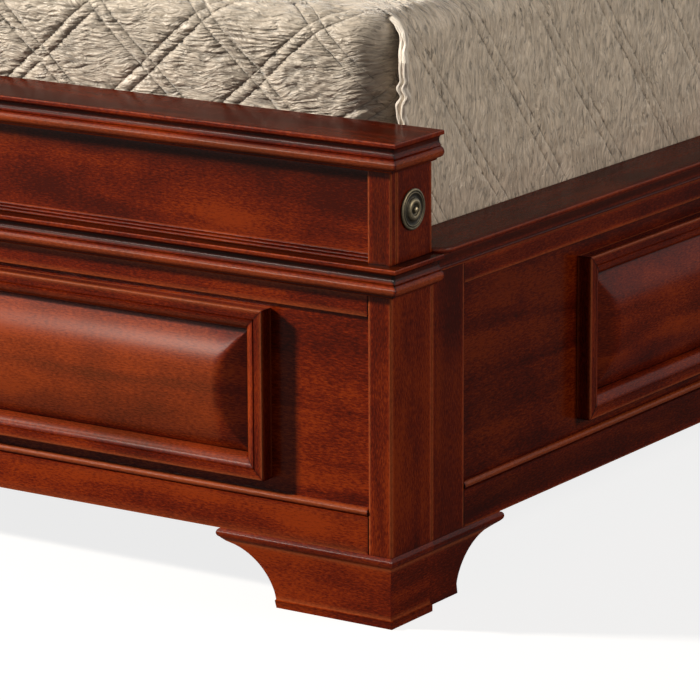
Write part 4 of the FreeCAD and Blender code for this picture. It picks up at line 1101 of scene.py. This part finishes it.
def smooth_noise(seed, x, y):
    """Value noise: lattice numbers blended by the curve 3t^2 - 2t^3 in both directions, from -1 to 1."""
    ix, iy = np.floor(x), np.floor(y)
    fx, fy = x - ix, y - iy
    fx, fy = fx * fx * (3 - 2 * fx), fy * fy * (3 - 2 * fy)
    low = lattice(seed, ix, iy) * (1 - fx) + lattice(seed, ix + 1, iy) * fx
    high = lattice(seed, ix, iy + 1) * (1 - fx) + lattice(seed, ix + 1, iy + 1) * fx
    return 2 * (low * (1 - fy) + high * fy) - 1


def quilted_height(u, v, settings, pitch):
    """Height of the cloth off its ground, its painted shade and its distances from the stitched lines.

    Stitch lines lie where u / across -+ v / along is near a whole number, in pairs 15 mm apart. A step of
    1 in that number is across * square wide at a right angle to the line. Each line is a bell-shaped
    valley between low puffs. Crinkles are ridges of smooth noise, 26 mm long across the bed and pitch
    apart, bent by a slow noise, and broken up beside the stitches. All of it is flatter on the side
    drops, where the cloth's own weight pulls across the crinkles.
    """
    drop_start, drop_blend, pair, square = 0.68, 0.09, 0.072, 0.68
    ramp = np.clip((np.abs(u) - drop_start) / drop_blend, 0, 1)
    stitch = np.zeros_like(u)
    puff = np.ones_like(u)
    wander = 0.014 * smooth_noise(settings.seed + 9, u / 0.05, v / 0.05)
    seams = []
    for slant, phase in ((-1.0, -0.735), (1.0, 0.0)):
        line = u / settings.across + slant * v / settings.along + phase
        line = line - 0.18 * ramp * (slant < 0) + wander
        away = np.abs(line - np.round(line))
        signed = (away - pair) * settings.across * square
        near = np.abs(signed)
        drawn = 1 - 0.6 * ramp * (slant * np.sign(u) > 0)
        stitch = np.maximum(stitch, drawn * np.exp(-(near / 0.0015) ** 2))
        puff *= 1 - 0.75 * drawn * np.exp(-(near / 0.006) ** 2)
        seams.append(1000 * signed / drawn ** 2)
    bend = smooth_noise(settings.seed, u / 0.070, v / 0.040) * 0.014
    bend += smooth_noise(settings.seed + 1, u / 0.024, v / 0.020) * 0.0042
    bend += smooth_noise(settings.seed + 7, u / 0.0105, v / 0.030) * 0.0016
    bend += 0.004 * stitch * np.sign(smooth_noise(settings.seed + 6, u / 0.03, v / 0.03))
    ridge = smooth_noise(settings.seed + 2, u / 0.026, (v + bend) / pitch)
    finer = smooth_noise(settings.seed + 3, u / 0.016 + 5, (v + bend * 0.7) / (0.78 * pitch))
    sharp = 1 - 2.0 * np.abs(ridge + 0.3 * finer)
    strength = 0.76 + 0.24 * smooth_noise(settings.seed + 4, u / 0.08, v / 0.05)
    strength *= (pitch / Coverlet.side_pitch) ** 0.8
    side = 1 - 0.40 * ramp
    height = 0.0022 * puff * side + side * settings.crinkle * sharp * strength
    height -= settings.valley * stitch * side
    # Painted shade in the stitched valleys and in the valleys between the crinkles.
    shade = np.clip(0.20 * stitch + 0.75 * side * np.clip(-sharp, 0, 1) * strength, 0, 1)
    return height, shade, seams


class Coverlet:
    """Plan of the coverlet over the mattress.

    The plan's outline is a rectangle with its foot corners rounded. Off it, the cloth goes over the top
    edge on an arc and falls straight: at a distance t down the cloth, the arc's angle is t / edge.
    """
    corner = 0.049        # radius of the foot corners in plan
    edge = 0.034          # radius of the arc over the top edge
    crown = 0.012         # rise of the top's middle over its border
    ledge = 0.430         # height below which the drops lie behind the ledge
    top_pitch = 0.0072    # distance between crinkles on the top
    side_pitch = 0.0046   # on the side drops
    foot_pitch = 0.0034   # on the foot drop

    def __init__(self, low, high):
        self.half, self.foot, self.head = high[0] - 0.0030, low[1] + 0.0030, high[1]
        self.brim = high[2] - self.crown - 0.0050
        self.hem = low[2] + 0.001
        self.arc = self.edge * math.pi / 2
        self.drop = self.arc + self.brim - self.edge - self.hem
        self.straight = self.half - self.corner
        self.turned = self.straight + self.corner * math.pi / 2

    def outline(self, s):
        """Place and outward direction at a distance s along the outline, from the middle of the foot."""
        way = np.sign(s)
        turn = np.clip((np.abs(s) - self.straight) / self.corner, 0, math.pi / 2)
        beyond = np.clip(np.abs(s) - self.turned, 0, None)
        x = np.minimum(np.abs(s), self.straight) + self.corner * np.sin(turn)
        y = self.foot + self.corner * (1 - np.cos(turn)) + beyond
        return np.stack([way * x, y], -1), np.stack([way * np.sin(turn), -np.cos(turn)], -1)

    def fall(self, s, t):
        """Ground and its outward direction at a distance t down the cloth from the top's border."""
        place, out = self.outline(s)
        turn = np.clip(t / self.edge, 0, math.pi / 2)
        inset = self.edge * (1 - np.sin(turn))
        down = self.edge * (1 - np.cos(turn)) + np.clip(t - self.arc, 0, None)
        ground = np.concatenate([place - out * inset[..., None], (self.brim - down)[..., None]], -1)
        normal = np.concatenate([out * np.sin(turn)[..., None], np.cos(turn)[..., None]], -1)
        return ground, normal

    def calm(self, ground):
        """Fades the quilting out within 50 mm of the foot corners of the top, where the cloth is split."""
        at = np.array([self.half - self.corner * 0.3, self.foot + self.corner * 0.3,
                       self.brim - self.edge * 0.3])
        mirrored = np.concatenate([np.abs(ground[..., :1]), ground[..., 1:]], -1)
        return np.clip((np.linalg.norm(mirrored - at, axis=-1) - 0.012) / 0.040, 0, 1)

    def lifted(self, ground, normal, u, v, settings, pitch, share=1.0):
        """Points, shade and stitch distances of the quilted cloth on its ground."""
        height, shade, seams = quilted_height(u, v, settings, pitch)
        calm = self.calm(ground) * share
        height = height * calm + 0.0015 * (1 - calm)
        seams = [s / np.maximum(calm, 0.2) ** 2 for s in seams]
        return ground + normal * height[..., None], shade * calm, seams

    def top(self, settings, rows=590, cols=162):
        """The top: rows along the bed whose half width w follows the outline's inner border.

        Between the stitched pairs the filling lifts it 5.5 mm, by 1 - exp(-(distance / 24 mm) ** 2) from
        each, and less within 50 mm of the side and foot borders. Each border's heights are kept for the
        drop that hangs from it: 0 for the foot's, 1 for the right one's and -1 for the left one's.
        """
        y = np.linspace(self.foot + self.edge, self.head, rows)
        inner = self.corner - self.edge
        short = np.clip(self.foot + self.corner - y, 0, inner)
        w = self.straight + np.sqrt(inner ** 2 - short ** 2)
        u = w[:, None] * np.linspace(-1, 1, cols)
        v = np.broadcast_to(y[:, None], u.shape)
        middle, reach = (y[0] + y[-1]) / 2, (y[-1] - y[0]) / 2
        crown = self.crown * (1 - (u / w[:, None]) ** 2) * (1 - ((v - middle) / reach) ** 2)
        ground = np.stack([u, v, self.brim + crown], -1)
        points, shade, seams = self.lifted(ground, np.broadcast_to(UP, ground.shape), u, v, settings,
                                           self.top_pitch)
        from_side = w[:, None] - np.abs(u)
        inside = np.clip(np.minimum(from_side, v - y[0]) / 0.05, 0, 1)
        diamond = np.ones_like(u)
        for seam in seams:
            diamond *= 1 - np.exp(-(np.clip(seam, 0, None) / 24.0) ** 2)
        points[..., 2] += 0.0055 * diamond * inside
        self.borders = {0: (u[0], points[0, :, 2]), 1: (y, points[:, -1, 2]), -1: (y, points[:, 0, 2])}
        # Painted shade: the top is up to 0.25 darker beyond 50 mm in from its side borders; painted light
        # makes the filled puffs up to 0.10 lighter.
        shade = shade + 0.25 * np.clip(from_side / 0.05, 0, 1) - 0.10 * diamond * inside
        return points, u, v, shade, seams

    def joined_on(self, points, normal, place, t, side):
        """A drop's points whose first row lies on the top's border: its gap there fades as exp(-t / 6 mm)."""
        gap = np.interp(place, *self.borders[side]) - points[0, :, 2]
        return points + normal * (gap * np.exp(-t / 0.006))[..., None]

    def foot_drop(self, settings, cols=460):
        """The foot drop, which turns round both corners of the mattress as far as the side drops."""
        reach = self.turned + 0.006
        down = np.concatenate([np.linspace(0, 0.147, 165)[:-1], np.linspace(0.147, self.drop, 41)])
        s, t = np.meshgrid(np.linspace(-reach, reach, cols), down)
        ground, normal = self.fall(s, t)
        v = self.foot + self.edge - t
        folds = 0.0022 * smooth_noise(settings.seed + 20, s / 0.060, t / 0.30) * np.clip(t / 0.08, 0, 1)
        tucked = np.clip((self.turned + 0.004 - np.abs(s)) / 0.030, 0, 1)
        points, shade, seams = self.lifted(ground, normal, s, v, settings, self.foot_pitch,
                                           0.35 + 0.65 * tucked)
        points = points + normal * (folds * tucked - 0.0022 * (1 - tucked))[..., None]
        points = self.joined_on(points, normal, s[0], t, 0)
        # Painted shade: the foot drop is 0.27 darker at its top border, rising to 0.47 from 60 mm down.
        return points, s, v, shade + 0.27 + 0.20 * np.clip(t / 0.06, 0, 1), seams

    def split_edge(self, t, settings):
        """Line of the split edge at a distance t down: how far out, and its place along the bed.

        From the corner of the top it runs 29 mm forward, and flares 12.5 mm out between the top and the
        ledge, with a wave of 3 mm every 34 mm.
        """
        lift = np.clip(t / 0.07, 0, 1)
        above = np.clip((self.brim - self.edge - (t - self.arc) - self.ledge) / 0.090, 0, 1)
        wave = smooth_noise(settings.seed + 30, t / 0.017, 0 * t)
        along = smooth_noise(settings.seed + 31, t / 0.020, 0 * t + 3)
        out = lift * above * (0.0125 + 0.0016 * wave)
        return out, self.foot + self.corner - lift * above * (0.0290 + 0.0022 * along)

    def side_drop(self, settings, side, rows=95):
        """A side drop, whose split edge flares out of the side: out = flare * exp(-(w / 22 mm) ** 1.5)."""
        share = np.concatenate([np.linspace(0, 0.29, 450)[:-1], np.linspace(0.29, 1, 550)])
        share, t = np.meshgrid(share, np.linspace(0, self.drop, rows))
        flare, start = self.split_edge(t, settings)
        y = start + (self.head - start) * share
        away = y - start
        ground, normal = self.fall(np.full_like(t, self.turned), t)
        ground[..., 1] = y
        near = np.exp(-(away / 0.022) ** 1.5)
        u = self.half - self.edge + t
        points, shade, seams = self.lifted(ground, normal, u * side, y, settings, self.side_pitch,
                                           1 - 0.6 * near * np.clip(t / 0.06, 0, 1))
        points = self.joined_on(points, normal, y[0], t, side)
        above = np.clip((ground[..., 2] - self.ledge) / 0.025, 0, 1)
        inner = self.half + 0.0004
        flattened = inner + (points[..., 0] - inner) * above
        points[..., 0] = np.where(ground[..., 2] < self.ledge + 0.030, flattened, points[..., 0])
        points[..., 0] += flare * near
        points[..., 0] *= side
        # Painted light: the side drops' shade is cut to three quarters and lowered by 0.06, which lightens
        # them towards the piping's colour.
        return points, u * side, y, 0.75 * shade - 0.06, seams

    def piping(self, settings, side, shift):
        """One cord of the split edge's double piped hem: rings 7 mm across along the edge, and its UVs."""
        t = np.linspace(0.020, self.drop - 0.002, 300)
        flare, start = self.split_edge(t, settings)
        ground, normal = self.fall(np.full_like(t, self.turned), t)
        above = np.clip((ground[:, 2] - self.ledge) / 0.025, 0, 1)
        middle = ground + normal * (0.0010 - 0.0022 * (1 - above))[:, None]
        middle[:, 0] += flare + shift * above * np.clip(t / 0.07, 0, 1)
        middle[:, 1] = start - 0.25 * shift
        sway = smooth_noise(settings.seed + 33, t / 0.010, 0 * t)
        own = smooth_noise(settings.seed + 35 + shift * 1000, t / 0.012, 0 * t)
        middle[:, 0] += (0.0027 * sway + 0.0012 * own) * above
        angle = np.linspace(0, math.tau, 12, endpoint=False)
        ripple = smooth_noise(settings.seed + 34 + shift * 1000, t / 0.0085, 0 * t)
        size = 0.0034 * (1 + 0.22 * ripple) * (0.4 + 0.6 * above)
        ring = size[:, None, None] * (np.cos(angle)[:, None] * normal[:, None, :]
                                      + np.sin(angle)[:, None] * Y)
        points = middle[:, None, :] + ring
        points[..., 0] *= side
        around = np.linspace(0, 0.013, len(angle) + 1)
        return points, np.stack(np.broadcast_arrays(t[:, None] * 0.6, around[None, :] + 0.5), -1)


def cloth_part(points, u, v, shade):
    """Mesh parts of a grid of cloth whose faces point up or outwards."""
    parts = mesh_parts()
    faces = grid_faces(*u.shape, False)
    uv = grid_uv(np.stack([u, v], -1))
    a, b, d = (points.reshape(-1, 3)[faces[:, k]] for k in (0, 1, 3))
    normal = np.cross(b - a, d - a)
    away = a - np.array([0, 0, 0.3])
    if (normal * away).sum() < 0:
        faces = faces[:, ::-1]
        uv = uv.reshape(-1, 4, 2)[:, ::-1].reshape(-1, 2)
    add_part(parts, points.reshape(-1, 3), faces, uv, shade.ravel())
    return parts


def store_seams(piece, first, second):
    """Keeps each point's distances from the stitched lines of either slant, in millimetres."""
    for name, values in (("seam_a", first), ("seam_b", second)):
        store = piece.data.attributes.new(name, "FLOAT", "POINT")
        store.data.foreach_set("value", values.astype(np.float32).ravel())


def mattress_form(low, high):
    """The mattress: its rounded plan shrunk towards the middle on top and below, and a taped edge.

    Each ring is the plan, inset and scaled, at one height. The profile goes from the middle of the
    bottom, out round the lower edge with its tape, up the side, and back to the middle of the top.
    """
    corner = 0.045
    half = (high - low) / 2
    middle = (high + low) / 2
    turn = np.linspace(0, math.pi / 2, 9)
    quarter = np.stack([np.cos(turn), np.sin(turn)], 1)
    plan, out = [], []
    for number, (sx, sy) in enumerate(((1, 1), (-1, 1), (-1, -1), (1, -1))):
        arc = quarter if number % 2 == 0 else quarter[::-1]
        arc = arc * np.array([sx, sy])
        plan.append(np.array([sx, sy]) * (half[:2] - corner) + corner * arc)
        out.append(arc)
    plan, out = np.concatenate(plan), np.concatenate(out)
    tall = high[2] - low[2]
    profile = [(k, 0.0, z) for k, z in ((0.02, 0.0), (0.5, 0.0), (0.9, 0.0))]
    profile += [(1.0, d, z) for d, z in ((0.030, 0.001), (0.012, 0.006), (0.003, 0.018), (0.0015, 0.026),
                                         (-0.0010, 0.029), (-0.0010, 0.034), (0.0015, 0.037), (0.001, 0.060))]
    profile += [(1.0, 0.0, z * tall) for z in (0.3, 0.45, 0.6, 0.75)]
    profile += [(1.0, d, tall - z) for d, z in ((0.001, 0.060), (0.0015, 0.037), (-0.0010, 0.034),
                                                (-0.0010, 0.029), (0.0015, 0.026), (0.004, 0.018),
                                                (0.012, 0.008), (0.030, 0.003))]
    profile += [(k, 0.0, tall + z) for k, z in ((0.9, 0.0), (0.7, 0.003), (0.5, 0.005), (0.25, 0.0065),
                                                (0.02, 0.007))]
    k, inset, z = np.array(profile).T
    ring = plan[None] * k[:, None, None] - out[None] * inset[:, None, None] + middle[:2]
    parts = mesh_parts()
    ringed(parts, at_heights(ring, low[2] + z), ring, 0.0)
    return parts


class BED_OT_bedding(PieceOperator, bpy.types.Operator):
    """Mattress and the quilted coverlet with its split foot corners"""
    bl_idname = "bed.bedding"
    bl_label = "Bedding"

    def execute(self, context):
        settings = context.scene.bed_bedding
        satin = finish_named("satin")
        mattress_low, mattress_high = corners("mattress")
        parts = mattress_form(mattress_low + 0.002, mattress_high - np.array([0.002, 0.002, 0.012]))
        mattress = build("mattress_block", parts, finish_named("ticking"), "bed_frame", ["mattress"],
                         crease=70.0)

        plan = Coverlet(*corners("coverlet"))
        length = plan.head - plan.foot - plan.edge
        width = 2 * (plan.half - plan.edge)
        sheets = {"coverlet_top": (plan.top(settings), (width, length)),
                  "coverlet_foot_drop": (plan.foot_drop(settings), (2 * plan.turned + 0.012, plan.drop)),
                  "coverlet_right_drop": (plan.side_drop(settings, 1), (length - 0.004, plan.drop)),
                  "coverlet_left_drop": (plan.side_drop(settings, -1), (length - 0.004, plan.drop))}
        for name, ((points, u, v, shade, seams), flat) in sheets.items():
            piece = build(name, cloth_part(points, u, v, shade), satin, "bed_frame",
                          crease=180.0)
            store_seams(piece, *seams)
            hem_cords = []
            if name in ("coverlet_right_drop", "coverlet_left_drop"):
                side = 1 if "right" in name else -1
                hem = mesh_parts()
                for shift in (0.0, 0.0080):
                    ringed(hem, *plan.piping(settings, side, shift), 0.0)
                hem_cords = [build(name.replace("drop", "piping"), hem, satin, "bed_frame",
                                   crease=180.0, tone=-0.6)]
                far = np.full(hem["count"], 99.0)
                store_seams(hem_cords[0], far, far)
            else:
                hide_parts("coverlet")
        return {"FINISHED"}


def stand_at(thing, place, right, up, back):
    """Stands an object at a place, with its own axes along right, up and back."""
    matrix = np.eye(4)
    matrix[:3] = np.stack([right, up, back, np.array(place)], 1)
    thing.matrix_world = Matrix(matrix.tolist())


class BED_OT_stage(PieceOperator, bpy.types.Operator):
    """Floor, light and the camera at the photograph's angle"""
    bl_idname = "bed.stage"
    bl_label = "Stage"

    def add_camera(self, scene, settings):
        """The camera looks along its yaw and pitch; roll turns right and down about that line."""
        yaw, pitch, roll = (math.radians(a) for a in (settings.yaw, settings.pitch, settings.roll))
        ahead = np.array([math.cos(pitch) * math.sin(yaw), math.cos(pitch) * math.cos(yaw), -math.sin(pitch)])
        right = np.array([math.cos(yaw), -math.sin(yaw), 0.0])
        down = np.cross(ahead, right)
        turned_right = math.cos(roll) * right - math.sin(roll) * down
        turned_down = math.sin(roll) * right + math.cos(roll) * down
        data = bpy.data.cameras.new("camera")
        data.lens, data.sensor_width, data.clip_end = settings.lens, 36.0, 100.0
        camera = bpy.data.objects.new("camera", data)
        scene.collection.objects.link(camera)
        stand_at(camera, settings.place, turned_right, -turned_down, -ahead)
        scene.camera = camera

    def seen(self, node, gloss):
        """1 for camera and transmission rays, which show the background, and gloss for glossy rays."""
        paths = node("LightPath", out=None).outputs
        share = node("Math", {0: paths["Is Glossy Ray"], 1: gloss}, operation="MULTIPLY")
        for name in ("Is Camera Ray", "Is Transmission Ray"):
            share = node("Math", {0: paths[name], 1: share}, operation="MAXIMUM")
        return share

    def add_floor(self, scene):
        """A wide floor whose own glow makes it white, and whose paint takes the bed's soft shadow."""
        span = 14.0
        mesh = bpy.data.meshes.new("floor")
        mesh.from_pydata([(x * span, y * span, 0) for x, y in ((-1, -1), (1, -1), (1, 1), (-1, 1))], [],
                         [(0, 1, 2, 3)])
        floor = bpy.data.objects.new("floor", mesh)
        scene.collection.objects.link(floor)
        material, node, finish = new_material("pale floor paint")
        # In gloss the floor shows 12 % of its white: all of it would lay a grey veil over the dark stain.
        seen = self.seen(node, 0.12)
        # Round the bed the floor keeps its shadow, and from 3 to 6 m out it turns as white as the world.
        distance = node("VectorMath", {0: node("TexCoord", out="Object")}, out="Value", operation="LENGTH")
        glow = node("MapRange", {"Value": distance, 1: 3.0, 2: 6.0, 3: 0.82, 4: 1.0})
        finish({"Base Color": (0.22, 0.22, 0.22, 1.0), "Roughness": 0.9, "Specular IOR Level": 0.0,
                "Emission Color": (1.0, 1.0, 1.0, 1.0),
                "Emission Strength": node("Math", {0: seen, 1: glow}, operation="MULTIPLY")})
        mesh.materials.append(material)

    def add_world(self, scene):
        """White to the camera and in gloss, and a weak warm light on everything else."""
        world = bpy.data.worlds.new("studio")
        scene.world = world
        world.use_nodes = True
        world.node_tree.nodes.clear()
        node = partial(add_node, world.node_tree)
        plain = node("Background", {"Color": linear("#F4F1EC"), "Strength": 0.05})
        white = node("Background", {"Color": (1.0, 1.0, 1.0, 1.0), "Strength": 1.0})
        mixed = node("MixShader", {0: self.seen(node, 1.0), 1: plain, 2: white})
        node("OutputWorld", {"Surface": mixed}, out=None)

    def add_lamp(self, scene, name, place, target, size, power, colour, gloss_only=False):
        """A rectangular lamp at place that shines at target, level along its own width."""
        light = bpy.data.lights.new(name, "AREA")
        light.shape, light.size, light.size_y = "RECTANGLE", size[0], size[1]
        light.energy = power
        light.color = linear(colour)[:3]
        lamp = bpy.data.objects.new(name, light)
        scene.collection.objects.link(lamp)
        away = np.array(place) - np.array(target)
        away = away / np.linalg.norm(away)
        side = np.cross(UP, away)
        side /= np.linalg.norm(side)
        stand_at(lamp, place, side, np.cross(away, side), away)
        lamp.visible_diffuse = not gloss_only

    def execute(self, context):
        scene = context.scene
        self.add_camera(scene, scene.bed_stage)
        self.add_floor(scene)
        self.add_world(scene)
        # The card is seen in gloss alone, for the long highlights on the pillows and mouldings.
        for name, place, target, size, power, colour in (
                ("key", (-4.30, -3.70, 3.20), (0.4, -1.1, 0.4), (0.60, 0.60), 700, "#FFF6E8"),
                ("card", (-2.80, -6.10, 1.80), (0.4, -1.1, 0.3), (0.6, 0.8), 84, "#FFF4E8"),
                ("fill", (5.2, 0.1, 2.5), (0.8, -0.6, 0.4), (1.8, 1.8), 102, "#FFF3E4"),
                ("back", (-1.6, 6.6, 2.7), (0.0, 1.1, 0.7), (2.4, 2.4), 190, "#FFF8F0")):
            self.add_lamp(scene, name, place, target, size, power, colour, gloss_only=name == "card")
        scene.view_settings.view_transform = "Standard"
        return {"FINISHED"}


class BED_PT_looks(bpy.types.Panel):
    """Sidebar panel of the bed's looks"""
    bl_label = "Storage bed"
    bl_idname = "BED_PT_looks"
    bl_space_type = "VIEW_3D"
    bl_region_type = "UI"
    bl_category = "Bed"

    def draw(self, context):
        for group in ("bed_wood", "bed_moulding", "bed_bedding", "bed_stage"):
            settings = getattr(context.scene, group)
            for name in settings.__annotations__:
                self.layout.prop(settings, name)
        for operator in OPERATORS:
            self.layout.operator(operator.bl_idname)


OPERATORS = (BED_OT_inner_parts, BED_OT_moulded_boards, BED_OT_frame_boards, BED_OT_drawer_fronts,
             BED_OT_bracket_feet, BED_OT_end_drawers, BED_OT_bedding, BED_OT_stage)
GROUPS = {"bed_wood": WoodSettings, "bed_moulding": MouldingSettings, "bed_bedding": BeddingSettings,
          "bed_stage": StageSettings}


def register():
    for name, group in GROUPS.items():
        bpy.utils.register_class(group)
        setattr(bpy.types.Scene, name, PointerProperty(type=group))
    for operator in OPERATORS:
        bpy.utils.register_class(operator)
    bpy.utils.register_class(BED_PT_looks)


def unregister():
    bpy.utils.unregister_class(BED_PT_looks)
    for operator in reversed(OPERATORS):
        bpy.utils.unregister_class(operator)
    for name, group in GROUPS.items():
        delattr(bpy.types.Scene, name)
        bpy.utils.unregister_class(group)


def main():
    """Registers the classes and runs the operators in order."""
    register()
    for operator in OPERATORS:
        getattr(bpy.ops.bed, operator.bl_idname.split(".")[1])()


if __name__ == "__main__":
    main()
